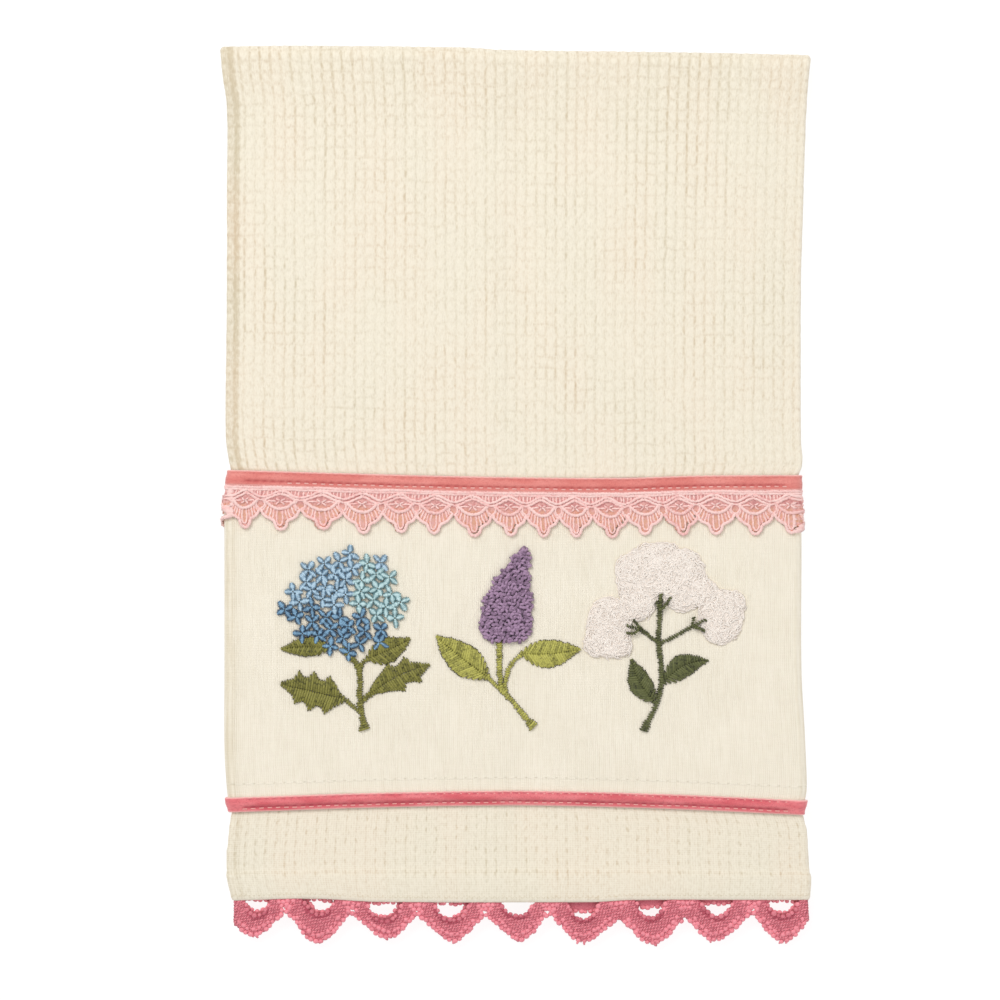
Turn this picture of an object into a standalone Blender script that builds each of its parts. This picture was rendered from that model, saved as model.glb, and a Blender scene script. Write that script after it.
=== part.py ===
"""Hand towel of waffle cloth: both sides are folded behind, then it is folded in half crosswise.

A flower panel, two ribbons, two laces and three embroidered sprigs are sewn to the half that faces
up. Each piece is first laid out flat, at (across, along, lift) in the cloth's own measure, scored
where it bends, and then folded with the cloth by one function, so that the pieces keep their
distance from each other all the way round the folds. Lengths are in millimetres until fold() gives
them in metres. The towel lies on its back at z = 0, its hem towards -Y.
"""

import math

import bmesh
import bpy
from mathutils import Vector

MM = 0.001

# The cloth and the way its layers lie
CLOTH = 1.5                      # thickness of the waffle cloth
LAYER_GAP = 0.4                  # between a flap and the layer it is folded onto
PIECE_GAP = 0.3                  # between pieces that are sewn together
CROSS_FOLD_INSIDE = 1.6          # inner radius of the fold along the top
TURN = (CLOTH + LAYER_GAP) / 2   # radius of a side fold, at the cloth's middle surface
FLAP_HEIGHT = CROSS_FOLD_INSIDE + CLOTH / 2
FACE_HEIGHT = FLAP_HEIGHT + 2 * TURN
MIDDLE = FACE_HEIGHT + CLOTH / 2  # height of the plane between the two halves

HALF_WIDTH = 105.0               # centre line to side fold, in the flat cloth
LEFT_FLAP = 94.3
RIGHT_FLAP = 91.3
HEM_EDGE = -150.4                # end of the front half
BACK_EDGE = -142.5               # end of the back half
FOLD_START = 160.0
CROSS_FOLD = math.pi * FACE_HEIGHT
BACK_END = 2 * FOLD_START + CROSS_FOLD - BACK_EDGE
HEM_DEPTH = 10.8
HEM_EXTRA = 0.5                  # how far a hem stands proud of the cloth

# Where the cloth starts to turn round its side folds
SIDE_EDGES = (
    # along, left, right
    (-158.0, 103.4, 107.4),
    (-150.4, 103.3, 106.9),
    (-142.5, 104.9, 107.3),
    (-135.8, 105.6, 106.7),
    (-121.0, 104.5, 106.0),
    (-113.6, 103.4, 103.4),
    (-107.3, 104.1, 104.7),
    (-92.5, 105.0, 104.3),
    (-65.0, 105.0, 102.8),
    (-18.5, 105.0, 102.8),
    (-4.8, 105.0, 102.6),
    (4.0, 103.4, 101.9),
    (11.0, 104.9, 104.5),
    (20.0, 106.0, 104.1),
    (76.0, 105.6, 104.1),
    (109.0, 105.6, 104.9),
    (142.5, 105.6, 106.0),
    (153.5, 107.1, 106.7),
    (165.0, 108.2, 107.8),
)

# How far the ribbons and the top fold bow up or down, from side to side
UPPER_BOW = ((-106, 2.0), (-36, 0.0), (-6, -0.6), (38, -1.0), (68, -0.1), (106, 0.1))
LOWER_BOW = ((-107, -1.7), (-50, 0.2), (2, 0.9), (55, -0.3), (107, -2.7))
TOP_SKEW = ((-109, 1.5), (-85, 1.9), (-20, 1.3), (-5, 0.4), (50, -0.35), (90, -1.1), (110, -1.6))
UPPER_LINE = 4.5
LOWER_LINE = -113.0

# Unevenness of the half that faces up
EDGE_SAG = 1.0                   # drop of the side folds above and below the panel
BAND_SAG = 0.3                   # drop of the side folds along the panel
CHANNEL = (-10.0, 13.0)          # between the free edges of the flaps
CHANNEL_SAG = 0.7
OVERHANG_DROP = 4.5              # drop of the lace's tips past the back half
OVERHANG = 24.0
RIPPLE = 0.25

# Sewn-on pieces: thickness, and lift above the cloth's middle surface
TRIM = 1.0
PANEL_LIFT = CLOTH / 2 + PIECE_GAP
RIBBON_LIFT = PANEL_LIFT + TRIM + PIECE_GAP
RIBBON_WIDTH = 5.6
PANEL_TOP = UPPER_LINE + 0.4
PANEL_FOOT = LOWER_LINE - 0.4
LACE_TOP = UPPER_LINE - RIBBON_WIDTH / 2 - PIECE_GAP

# Upper lace: even scallops
UPPER_PITCH = 13.6
UPPER_FIRST_TIP = -100.3
UPPER_VALLEY = -7.9
UPPER_TIP = -14.6
UPPER_LACE_SCORE = -5.0          # in line with a score of the panel under the lace

# Hem lace: valleys and tips of the scallops, from the left fold to the right one
HEM_LACE = 1.2
HEM_LACE_TURNS = (
    # across, along
    (-106.5, -158.5),
    (-97.5, -163.9),
    (-85.5, -155.8),
    (-73.3, -166.1),
    (-61.2, -155.8),
    (-46.6, -164.6),
    (-36.7, -155.8),
    (-23.3, -165.8),
    (-11.3, -155.8),
    (1.5, -165.4),
    (12.5, -154.8),
    (24.2, -166.1),
    (38.1, -158.0),
    (51.1, -166.8),
    (62.7, -157.4),
    (73.6, -165.4),
    (87.5, -156.2),
    (99.4, -166.1),
    (110.0, -156.9),
)
HOLE_TOP = HEM_EDGE - PIECE_GAP - 0.9
HOLE_DEPTH = 3.9
HOLE_WIDTH = 11.0
EDGE_HOLE_SHIFT = 2.4            # the end holes lie a little towards the middle

# Embroidery lies just above the panel
SPRIG_LIFT = RIBBON_LIFT


def smooth(table, place, column=1):
    """Smooth curve through one column of a table, level beyond its first and last rows."""
    if place <= table[0][0]:
        return table[0][column]
    if place >= table[-1][0]:
        return table[-1][column]
    row = max(i for i, entry in enumerate(table) if entry[0] <= place)

    def slope(i):
        before = table[max(i - 1, 0)]
        after = table[min(i + 1, len(table) - 1)]
        return (after[column] - before[column]) / (after[0] - before[0])

    start, end = table[row], table[row + 1]
    span = end[0] - start[0]
    t = (place - start[0]) / span
    rise = t * t * (3 - 2 * t)
    level = start[column] * (1 - rise) + end[column] * rise
    return level + span * t * (1 - t) * (slope(row) * (1 - t) - slope(row + 1) * t)


def step(start, end, place):
    """0 before start, 1 after end and a soft rise between."""
    t = min(max((place - start) / (end - start), 0.0), 1.0)
    return t * t * (3 - 2 * t)


def hump(place, centre, full, reach):
    """1 within full of the centre, 0 beyond reach."""
    return 1.0 - step(full, reach, abs(place - centre))


def side_edge(along, across):
    """Where the side fold starts on the page, at this height and on this side."""
    return smooth(SIDE_EDGES, along, 1 if across < 0 else 2)


def cloth_across(page_x, page_y):
    """Place in the flat cloth of a point on the page's front."""
    return page_x * HALF_WIDTH / side_edge(page_y, page_x)


def flap_across(page_x, page_y):
    """Place in the flat cloth of a point on the flap behind that page point."""
    front = cloth_across(page_x, page_y)
    return math.copysign(2 * HALF_WIDTH + math.pi * TURN, front) - front


def settle(x, y, z, across, along):
    """Uneven lie of the folded towel, in millimetres."""
    front = 1.0 - step(FOLD_START - 25, FOLD_START, along)
    bow = (smooth(UPPER_BOW, x) * hump(y, UPPER_LINE, 15, 75)
           + smooth(LOWER_BOW, x) * hump(y, LOWER_LINE, 12, 35))
    y += front * bow + smooth(TOP_SKEW, x) * step(20, FOLD_START, y)
    in_band = hump(y, (UPPER_LINE + LOWER_LINE) / 2, 66, 90)
    drop = (BAND_SAG * in_band + EDGE_SAG * (1 - in_band)) * step(85, 108, abs(x))
    drop += OVERHANG_DROP * (max(BACK_EDGE - y, 0) / OVERHANG) ** 1.6
    if abs(across) < HALF_WIDTH:
        centre = sum(CHANNEL) / 2
        drop += CHANNEL_SAG * hump(x, centre, 1, (CHANNEL[1] - CHANNEL[0]) / 2)
    ripple = RIPPLE * math.sin(x / 23 + 0.8) * math.sin(y / 37 + 0.4) * (1 - 0.6 * in_band)
    z += front * (ripple - drop)
    if along > FOLD_START + CROSS_FOLD:
        z += HEM_EXTRA * step(HEM_DEPTH + 12, HEM_DEPTH + 1, BACK_END - along)
    return x, y, z


def fold(across, along, lift):
    """Folded place, in metres, of a point of the flat pattern."""
    turned = (along - FOLD_START) / FACE_HEIGHT
    if turned <= 0:
        page_y = along
    elif turned < math.pi:
        page_y = FOLD_START + FACE_HEIGHT * math.sin(turned)
    else:
        page_y = FOLD_START - (along - FOLD_START - CROSS_FOLD)

    edge = side_edge(page_y, across)
    reach = abs(across)
    past = reach - HALF_WIDTH
    if past <= 0:
        x, height = reach * edge / HALF_WIDTH, lift
    elif past < math.pi * TURN:
        x = edge + (TURN + lift) * math.sin(past / TURN)
        height = (TURN + lift) * math.cos(past / TURN) - TURN
    else:
        x, height = (2 * HALF_WIDTH + math.pi * TURN - reach) * edge / HALF_WIDTH, -2 * TURN - lift
    height += FACE_HEIGHT

    if turned <= 0:
        y, z = along, MIDDLE + height
    elif turned < math.pi:
        y = FOLD_START + height * math.sin(turned)
        z = MIDDLE + height * math.cos(turned)
    else:
        y, z = page_y, MIDDLE - height
    return Vector(settle(math.copysign(x, across), y, z, across, along)) * MM


def across_scores():
    """Lines where every piece is scored across: front, side folds and flaps."""
    turn = [HALF_WIDTH + math.pi * TURN * k / 5 for k in range(6)]
    flap = [HALF_WIDTH + 30, HALF_WIDTH + 64]
    front = [28.0, 50.0, 70.0, 88.0, 97.0]
    channel = [CHANNEL[0], -4.0, 1.5, 7.0, CHANNEL[1]]
    sides = turn + flap + front
    return sorted(channel + sides + [-place for place in sides])


def along_scores():
    """Lines where every piece is scored along: front half, cross fold and back half."""
    front = [-146, -131, -121, -113, -104, -85, -52, -20, UPPER_LACE_SCORE, 4.2, 12, 25, 60, 105, 138, 150,
             FOLD_START]
    turn = [FOLD_START + CROSS_FOLD * k / 7 for k in range(1, 8)]
    back = [2 * FOLD_START + CROSS_FOLD - place for place in (150, 130, 90, 30, -45, -100, -118)]
    return front + turn + back


def score(bm, across, along):
    """Cut a flat pattern along the lines where it will bend."""
    cuts = [((place, 0, 0), (1, 0, 0)) for place in across]
    cuts += [((0, place, 0), (0, 1, 0)) for place in along]
    for point, normal in cuts:
        everything = bm.verts[:] + bm.edges[:] + bm.faces[:]
        bmesh.ops.bisect_plane(bm, geom=everything, dist=0.0005, plane_co=point, plane_no=normal)


def strip(left, right, foot, top, bottom_lift, top_lift):
    """Flat box of the pattern."""
    bm = bmesh.new()
    bmesh.ops.create_cube(bm, size=1.0)
    bmesh.ops.scale(bm, vec=(right - left, top - foot, top_lift - bottom_lift), verts=bm.verts)
    centre = ((left + right) / 2, (foot + top) / 2, (bottom_lift + top_lift) / 2)
    bmesh.ops.translate(bm, vec=centre, verts=bm.verts)
    return bm


def plate(loops, bottom_lift, top_lift):
    """Flat outline with its holes, filled and given its thickness."""
    curve = bpy.data.curves.new("outline", 'CURVE')
    curve.dimensions = '2D'
    curve.fill_mode = 'BOTH'
    curve.extrude = (top_lift - bottom_lift) / 2
    for loop in loops:
        spline = curve.splines.new('POLY')
        spline.points.add(len(loop) - 1)
        for point, (across, along) in zip(spline.points, loop):
            point.co = (across, along, 0, 1)
        spline.use_cyclic_u = True
    pattern = bpy.data.objects.new("outline", curve)
    pattern_pieces.objects.link(pattern)
    graph = bpy.context.evaluated_depsgraph_get()
    mesh = bpy.data.meshes.new_from_object(pattern.evaluated_get(graph))
    bpy.data.objects.remove(pattern)
    bm = bmesh.new()
    bm.from_mesh(mesh)
    bmesh.ops.remove_doubles(bm, verts=bm.verts, dist=0.001)
    bmesh.ops.translate(bm, vec=(0, 0, (bottom_lift + top_lift) / 2), verts=bm.verts)
    bmesh.ops.recalc_face_normals(bm, faces=bm.faces)
    flatten(bm)
    return bm


def flatten(bm):
    """Merge the triangles of each flat face, so that scoring cuts them only once."""
    bmesh.ops.dissolve_limit(bm, angle_limit=math.radians(0.5), verts=bm.verts, edges=bm.edges)


def laid_out(bm):
    """Flat pattern as an object that can be joined or cut."""
    mesh = bpy.data.meshes.new("pattern")
    bm.to_mesh(mesh)
    bm.free()
    pattern = bpy.data.objects.new("pattern", mesh)
    pattern.hide_render = True
    pattern.display_type = 'WIRE'
    pattern_pieces.objects.link(pattern)
    return pattern


def joined(patterns, cutters=()):
    """Join flat patterns into one body and cut others out of it."""
    base = laid_out(patterns[0])
    others = [(laid_out(bm), 'UNION') for bm in patterns[1:]]
    others += [(laid_out(bm), 'DIFFERENCE') for bm in cutters]
    for other, operation in others:
        boolean = base.modifiers.new(operation.lower(), 'BOOLEAN')
        boolean.operation = operation
        boolean.object = other
    graph = bpy.context.evaluated_depsgraph_get()
    mesh = bpy.data.meshes.new_from_object(base.evaluated_get(graph))
    for pattern in [base] + [other for other, _ in others]:
        bpy.data.objects.remove(pattern)
    bm = bmesh.new()
    bm.from_mesh(mesh)
    bmesh.ops.remove_doubles(bm, verts=bm.verts, dist=0.001)
    flatten(bm)
    return bm


def fabric(name, colour, roughness):
    """Plain fabric of one screen colour."""
    material = bpy.data.materials.new(name)
    material.use_nodes = True
    shader = material.node_tree.nodes["Principled BSDF"]
    linear = [((c / 255 + 0.055) / 1.055) ** 2.4 for c in colour]
    shader.inputs["Base Color"].default_value = (*linear, 1.0)
    shader.inputs["Roughness"].default_value = roughness
    shader.inputs["Metallic"].default_value = 0.0
    shader.inputs["Sheen Weight"].default_value = 0.2
    return material


def folded(name, bm, colour, roughness=0.9):
    """Fold a scored pattern and make it the finished piece."""
    bmesh.ops.triangulate(bm, faces=[face for face in bm.faces if len(face.verts) > 4])
    for vert in bm.verts:
        vert.co = fold(*vert.co)
    mesh = bpy.data.meshes.new(name)
    bm.to_mesh(mesh)
    bm.free()
    mesh.materials.append(fabric(name, colour, roughness))
    mesh.shade_smooth()
    mesh.set_sharp_from_angle(angle=math.radians(50))
    towel.objects.link(bpy.data.objects.new(name, mesh))


def flap_end(length):
    return HALF_WIDTH + math.pi * TURN + length


def make_towel_cloth():
    """The waffle cloth in one piece, with a thicker hem at both ends."""
    bm = strip(-flap_end(LEFT_FLAP), flap_end(RIGHT_FLAP), HEM_EDGE, BACK_END, -CLOTH / 2, CLOTH / 2)
    hems = (HEM_EDGE + HEM_DEPTH, BACK_END - HEM_DEPTH)
    steps = [hems[0], hems[0] + HEM_EXTRA, hems[1] - HEM_EXTRA, hems[1]]
    score(bm, across_scores(), along_scores() + steps)
    for vert in bm.verts:
        on_hem = vert.co.y < hems[0] + 0.01 or vert.co.y > hems[1] - 0.01
        if on_hem and vert.co.z > 0:
            vert.co.z += HEM_EXTRA
    folded("towel_cloth", bm, (243, 232, 212))


def make_flower_panel():
    """Plain-weave strip between the ribbons, turned behind with the flaps."""
    bm = strip(-flap_end(LEFT_FLAP - 1), flap_end(RIGHT_FLAP - 1), PANEL_FOOT, PANEL_TOP,
               PANEL_LIFT, PANEL_LIFT + TRIM)
    score(bm, across_scores(), along_scores())
    folded("flower_panel", bm, (241, 232, 213))


def make_ribbon(name, line, panel_side, colour):
    """Ribbon over an edge of the panel; its far half steps down onto the waffle cloth."""
    bm = strip(-flap_end(LEFT_FLAP - 1), flap_end(RIGHT_FLAP - 1), line - RIBBON_WIDTH / 2,
               line + RIBBON_WIDTH / 2, RIBBON_LIFT, RIBBON_LIFT + TRIM)
    shoulder = line - panel_side * 0.8
    score(bm, across_scores(), [shoulder])
    for vert in bm.verts:
        if (vert.co.y - shoulder) * panel_side < -0.01:
            vert.co.z -= TRIM
    folded(name, bm, colour, 0.75)


def upper_scallop(across):
    """Lower edge of the upper lace: pointed scallops at an even pitch."""
    from_tip = abs(((across - UPPER_FIRST_TIP) / UPPER_PITCH + 0.5) % 1 - 0.5) * 2
    return UPPER_VALLEY + (UPPER_TIP - UPPER_VALLEY) * (1 - from_tip) ** 0.8


def make_upper_lace():
    """Scalloped lace that hangs from under the upper ribbon, turned behind with the flaps."""
    left, right = -flap_end(LEFT_FLAP - 1), flap_end(RIGHT_FLAP - 1)
    bm = strip(left, right, UPPER_VALLEY, LACE_TOP, RIBBON_LIFT, RIBBON_LIFT + TRIM)
    scallop_parts = 6
    count = math.ceil((right - UPPER_FIRST_TIP) / UPPER_PITCH * scallop_parts)
    places = [UPPER_FIRST_TIP + UPPER_PITCH / scallop_parts * k for k in range(-count, count + 1)]
    # the scallops hidden on the flaps are plain points
    tips_and_valleys = places[::scallop_parts // 2]
    shown = [place for place in places if abs(place) < HALF_WIDTH]
    score(bm, sorted({*across_scores(), *shown, *tips_and_valleys}), [UPPER_LACE_SCORE])
    for vert in bm.verts:
        if vert.co.y < UPPER_LACE_SCORE - 0.1:
            vert.co.y = upper_scallop(vert.co.x)
    folded("upper_lace", bm, (236, 186, 177))


def hem_lace_edge(page_x):
    """Lower edge of the hem lace on the page: rounded scallops between narrow valleys."""
    turns = HEM_LACE_TURNS
    row = max(i for i, entry in enumerate(turns[:-1]) if entry[0] <= max(page_x, turns[0][0]))
    (start_x, start_y), (end_x, end_y) = turns[row], turns[row + 1]
    t = min(max((page_x - start_x) / (end_x - start_x), 0.0), 1.0)
    if end_y > start_y:
        start_y, end_y, t = end_y, start_y, 1 - t
    return start_y + (end_y - start_y) * math.sin(math.pi * t / 2) ** 1.5


def hem_lace_outline():
    """Lower edge of the hem lace in the flat cloth: left flap, front and right flap."""
    page_y = HEM_LACE_TURNS[0][1]
    left_fold = -side_edge(page_y, -1)
    right_fold = side_edge(page_y, 1)
    places = []
    for (start, _), (end, _) in zip(HEM_LACE_TURNS, HEM_LACE_TURNS[1:]):
        places += [start + (end - start) * t for t in (0, 0.3, 0.65)]
    places = [place for place in places if left_fold < place < right_fold]
    front = [(cloth_across(x, page_y), hem_lace_edge(x)) for x in places]
    left = [(flap_across(x, page_y), hem_lace_edge(x)) for x in places if x < CHANNEL[0]]
    right = [(flap_across(x, page_y), hem_lace_edge(x)) for x in places if x > CHANNEL[1]]
    folds = [(HALF_WIDTH + math.pi * TURN / 2) * side for side in (-1, 1)]
    left_turn = [(folds[0], hem_lace_edge(left_fold))]
    right_turn = [(folds[1], hem_lace_edge(right_fold))]
    return left[::-1] + left_turn + front + right_turn + right[::-1]


def half_moon(centre, place):
    """Half-moon hole below the hem, on the front or on a flap."""
    page_y = HEM_LACE_TURNS[0][1]
    half = HOLE_WIDTH / 2
    arc = [(centre + half * math.cos(turn), HOLE_TOP - HOLE_DEPTH * math.sin(turn))
           for turn in (math.pi * k / 6 for k in range(7))]
    return [(place(x, page_y), y) for x, y in arc]


def hem_holes():
    """Page places of the half-moon holes, one in each scallop of the hem lace."""
    tips = [x for x, _ in HEM_LACE_TURNS[1::2]]
    tips[0] += EDGE_HOLE_SHIFT
    tips[-1] -= EDGE_HOLE_SHIFT
    return tips


def make_hem_lace():
    """Lace sewn to the front hem, turned behind with the flaps, with a hole in each scallop."""
    top = HEM_EDGE - PIECE_GAP
    edge = hem_lace_outline()
    outline = [(edge[-1][0], top), (edge[0][0], top)] + edge
    holes = [half_moon(x, cloth_across) for x in hem_holes()]
    holes += [half_moon(x, flap_across) for x in hem_holes()
              if x < CHANNEL[0] - HOLE_WIDTH / 2 or x > CHANNEL[1] + HOLE_WIDTH / 2]
    bm = plate([outline] + holes, -HEM_LACE / 2, HEM_LACE / 2)
    bends = [place for place in across_scores() if abs(place) < 60 or abs(place) > 100]
    score(bm, bends, [])
    folded("hem_lace", bm, (213, 125, 133))


def onto_cloth(bm):
    """Move a motif drawn on the page to its place in the flat cloth."""
    for vert in bm.verts:
        vert.co.x = cloth_across(vert.co.x, vert.co.y)
    return bm


def blade(base, tip, width, lift, teeth=0):
    """Leaf with its two edges bulging between base and tip, toothed if asked."""
    start, end = Vector(base), Vector(tip)
    length = (end - start).length
    forward = (end - start) / length
    sideways = Vector((-forward.y, forward.x))
    count = 4 * teeth if teeth else 9
    edges = []
    for side in (1, -1):
        edge = []
        for k in range(1, count):
            t = k / count
            bulge = width / 2 * math.sin(math.pi * t ** 0.85)
            if teeth:
                bulge *= 0.78 + 0.44 * (k % 4) / 3
            edge.append(start + forward * length * t + sideways * side * bulge)
        edges.append(edge)
    loop = [start] + edges[0] + [end] + edges[1][::-1]
    return plate([[tuple(point) for point in loop]], lift, lift + 0.9)


def stalk(points, width, lift, foot=0.0):
    """Stem along a few points; a foot widens its last end."""
    points = [Vector(point) for point in points]
    sides = ([], [])
    for k, point in enumerate(points):
        before, after = points[max(k - 1, 0)], points[min(k + 1, len(points) - 1)]
        forward = (after - before).normalized()
        half = (width + (foot if k == len(points) - 1 else 0)) / 2
        sideways = Vector((-forward.y, forward.x)) * half
        sides[0].append(tuple(point + sideways))
        sides[1].append(tuple(point - sideways))
    return plate([sides[0] + sides[1][::-1]], lift, lift + 1.1)


def sprig_scores(left, right, foot, top):
    """Scores a few millimetres apart, so that a motif follows the panel under it."""
    def between(places, low, high):
        return [place for place in places if low < place < high]
    return between(across_scores(), left, right), between(along_scores(), foot, top)


def oval(centre, radii, grow=0.0, lobes=0, count=36):
    """Oval outline, wavy if it has lobes."""
    loop = []
    for k in range(count):
        turn = math.tau * k / count
        wave = 1 + (0.035 * math.cos(lobes * turn) if lobes else 0)
        loop.append((centre[0] + (radii[0] + grow) * wave * math.cos(turn),
                     centre[1] + (radii[1] + grow) * wave * math.sin(turn)))
    return loop


def mound(loop, lift, height, shoulder):
    """Plate with a rounded upper rim."""
    bm = plate([loop], lift, lift + height)
    rim = [edge for edge in bm.edges
           if all(vert.co.z > lift + height / 2 for vert in edge.verts)
           and any(abs(face.normal.z) < 0.5 for face in edge.link_faces)]
    bmesh.ops.bevel(bm, geom=rim, offset=shoulder, segments=2, profile=0.5, affect='EDGES')
    return bm


HYDRANGEA = {"centre": (-63.3, -39.6), "radii": (24.8, 21.6)}
HYDRANGEA_SIDE_BLADE = ((-68.3, -56.6), (-87.0, -57.1), 6.8, 0)
HYDRANGEA_BLADES = (
    # base, tip, width, teeth
    ((-55.5, -60.7), (-39.0, -53.2), 7.4, 0),
    ((-63.5, -75.3), (-87.1, -69.9), 12.6, 4),
    ((-56.2, -75.3), (-31.8, -62.5), 9.4, 4),
)
HYDRANGEA_STALKS = (
    # points, width, foot
    (((-64.2, -56.4), (-58.1, -64.1), (-57.6, -75.3), (-56.6, -82.5), (-55.9, -86.9)), 2.0, 1.7),
    (((-57.9, -65.5), (-57.2, -62.7), (-54.6, -60.4)), 1.7, 0.0),
    (((-57.4, -80.3), (-64.2, -74.9)), 1.5, 0.0),
    (((-57.2, -76.4), (-53.8, -73.7)), 1.6, 0.0),
)

LILAC_BLOOM = (
    # along, left, right
    (-18.3, 1.9, 4.1),
    (-22.6, -1.7, 5.5),
    (-27.8, -6.3, 5.6),
    (-33.3, -9.6, 5.9),
    (-38.9, -12.6, 6.7),
    (-46.3, -14.1, 6.3),
    (-51.4, -13.2, 5.2),
    (-54.4, -8.9, 2.2),
)
LILAC_BLADES = (
    ((-10.0, -67.7), (-29.6, -52.1), 10.3, 0),
    ((1.4, -58.6), (23.9, -56.9), 10.3, 0),
)
LILAC_STALKS = (
    (((-6.1, -52.0), (-5.6, -70.4), (-4.2, -72.8), (1.1, -79.1), (6.7, -86.1)), 1.9, 2.0),
    (((-4.5, -73.4), (-11.0, -66.9)), 1.6, 0.0),
    (((-4.0, -72.9), (-3.9, -68.5), (-2.2, -63.2), (2.2, -58.4)), 1.5, 0.0),
)

SNOWBALL_LOBES = (
    # centre, radii
    ((34.2, -48.6), (8.7, 12.2)),
    ((46.0, -30.5), (9.5, 12.0)),
    ((54.5, -27.4), (9.5, 11.0)),
    ((63.0, -31.5), (9.5, 12.5)),
    ((77.0, -45.0), (9.2, 10.9)),
)
SNOWBALL_BLADES = (
    ((51.6, -76.9), (42.6, -60.5), 8.1, 0),
    ((53.6, -69.4), (71.2, -61.0), 8.9, 0),
)
SNOWBALL_STALKS = (
    (((53.3, -36.3), (53.3, -42.7), (52.7, -54.6), (53.5, -60.0), (53.8, -68.9), (52.1, -76.9),
      (47.1, -87.3)), 2.0, 1.3),
    (((52.7, -54.9), (45.6, -49.4), (41.5, -47.6)), 1.5, 0.0),
    (((52.7, -54.9), (64.9, -48.4), (69.8, -45.7)), 1.5, 0.0),
)


def make_leaves(name, blades, stalks, bloom_cutters, colour):
    """Leaves and stems of a sprig in one body, ending just short of the bloom."""
    # each blade and stalk starts at its own height, so that no two of their faces coincide
    apart = 0.04
    patterns = [stalk(points, width, SPRIG_LIFT + apart * k, foot)
                for k, (points, width, foot) in enumerate(stalks)]
    patterns += [blade(base, tip, width, SPRIG_LIFT + apart * (k + len(stalks)), teeth)
                 for k, (base, tip, width, teeth) in enumerate(blades)]
    bm = onto_cloth(joined(patterns, bloom_cutters))
    xs = [vert.co.x for vert in bm.verts]
    ys = [vert.co.y for vert in bm.verts]
    score(bm, *sprig_scores(min(xs), max(xs), min(ys), max(ys)))
    folded(name, bm, colour, 0.6)


def make_bloom(name, bm, colour, roughness):
    """Raised head of a flower."""
    bm = onto_cloth(bm)
    xs = [vert.co.x for vert in bm.verts]
    ys = [vert.co.y for vert in bm.verts]
    score(bm, *sprig_scores(min(xs), max(xs), min(ys), max(ys)))
    folded(name, bm, colour, roughness)


def cutter(loop):
    """Outline taken right through, for cutting leaves away under a bloom."""
    return plate([loop], SPRIG_LIFT - 2, SPRIG_LIFT + 4)


def make_hydrangea():
    centre, radii = HYDRANGEA["centre"], HYDRANGEA["radii"]
    make_bloom("hydrangea_bloom", mound(oval(centre, radii, 0, 12, 48), SPRIG_LIFT, 1.5, 0.6),
               (106, 152, 190), 0.5)
    for name, blades, stalks in (("hydrangea_leaves", HYDRANGEA_BLADES, HYDRANGEA_STALKS),
                                 ("hydrangea_side_leaf", (HYDRANGEA_SIDE_BLADE,), ())):
        under_bloom = cutter(oval(centre, radii, PIECE_GAP + 0.05, 12, 48))
        make_leaves(name, blades, stalks, [under_bloom], (110, 117, 56))


def lilac_outline(grow=0.0):
    """Drop-shaped head that leans to the right at its tip."""
    left = [(x - grow, y) for y, x, _ in LILAC_BLOOM]
    right = [(x + grow, y) for y, _, x in LILAC_BLOOM]
    left[0] = (left[0][0], left[0][1] + grow)
    right[0] = (right[0][0], right[0][1] + grow)
    left[-1] = (left[-1][0], left[-1][1] - grow)
    right[-1] = (right[-1][0], right[-1][1] - grow)
    return left + right[::-1]


def make_lilac():
    make_bloom("lilac_bloom", mound(lilac_outline(), SPRIG_LIFT, 2.0, 0.8), (143, 118, 165), 0.95)
    make_leaves("lilac_leaves", LILAC_BLADES, LILAC_STALKS, [cutter(lilac_outline(PIECE_GAP))],
                (160, 165, 72))


def make_snowball():
    lobes = [mound(oval(centre, radii, 0, 0, 24), SPRIG_LIFT + 0.03 * k, 2.2, 0.9)
             for k, (centre, radii) in enumerate(SNOWBALL_LOBES)]
    make_bloom("snowball_bloom", joined(lobes), (233, 226, 228), 0.95)
    cutters = [cutter(oval(centre, radii, PIECE_GAP + 0.05, 0, 24)) for centre, radii in SNOWBALL_LOBES]
    make_leaves("snowball_leaves", SNOWBALL_BLADES, SNOWBALL_STALKS, cutters, (62, 74, 44))


for old in list(bpy.data.objects):
    bpy.data.objects.remove(old)
towel = bpy.data.collections.new("hand_towel")
pattern_pieces = bpy.data.collections.new("pattern_pieces")
bpy.context.scene.collection.children.link(towel)
bpy.context.scene.collection.children.link(pattern_pieces)

make_towel_cloth()
make_flower_panel()
make_ribbon("upper_ribbon", UPPER_LINE, -1, (229, 141, 134))
make_ribbon("lower_ribbon", LOWER_LINE, 1, (210, 116, 121))
make_upper_lace()
make_hem_lace()
make_hydrangea()
make_lilac()
make_snowball()
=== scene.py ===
"""Looks of the folded hand towel: waffle cloth, flower panel, ribbons, laces and embroidery.

Every piece is first laid out flat, at (across, along, lift) in the cloth's own measure, and then
folded with the cloth by fold(). The page is the folded towel's face, as it is seen from above.
Lengths are in millimetres until fold() gives them in metres.
"""

import math

import bmesh
import bpy
import numpy as np
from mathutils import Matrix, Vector


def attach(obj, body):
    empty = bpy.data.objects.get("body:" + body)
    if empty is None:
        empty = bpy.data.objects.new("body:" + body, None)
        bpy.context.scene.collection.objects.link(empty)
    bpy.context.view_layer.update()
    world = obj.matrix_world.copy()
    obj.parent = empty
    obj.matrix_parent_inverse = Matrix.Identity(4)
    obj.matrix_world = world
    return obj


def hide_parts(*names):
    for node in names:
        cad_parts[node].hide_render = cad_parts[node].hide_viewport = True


MM = 0.001

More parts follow.
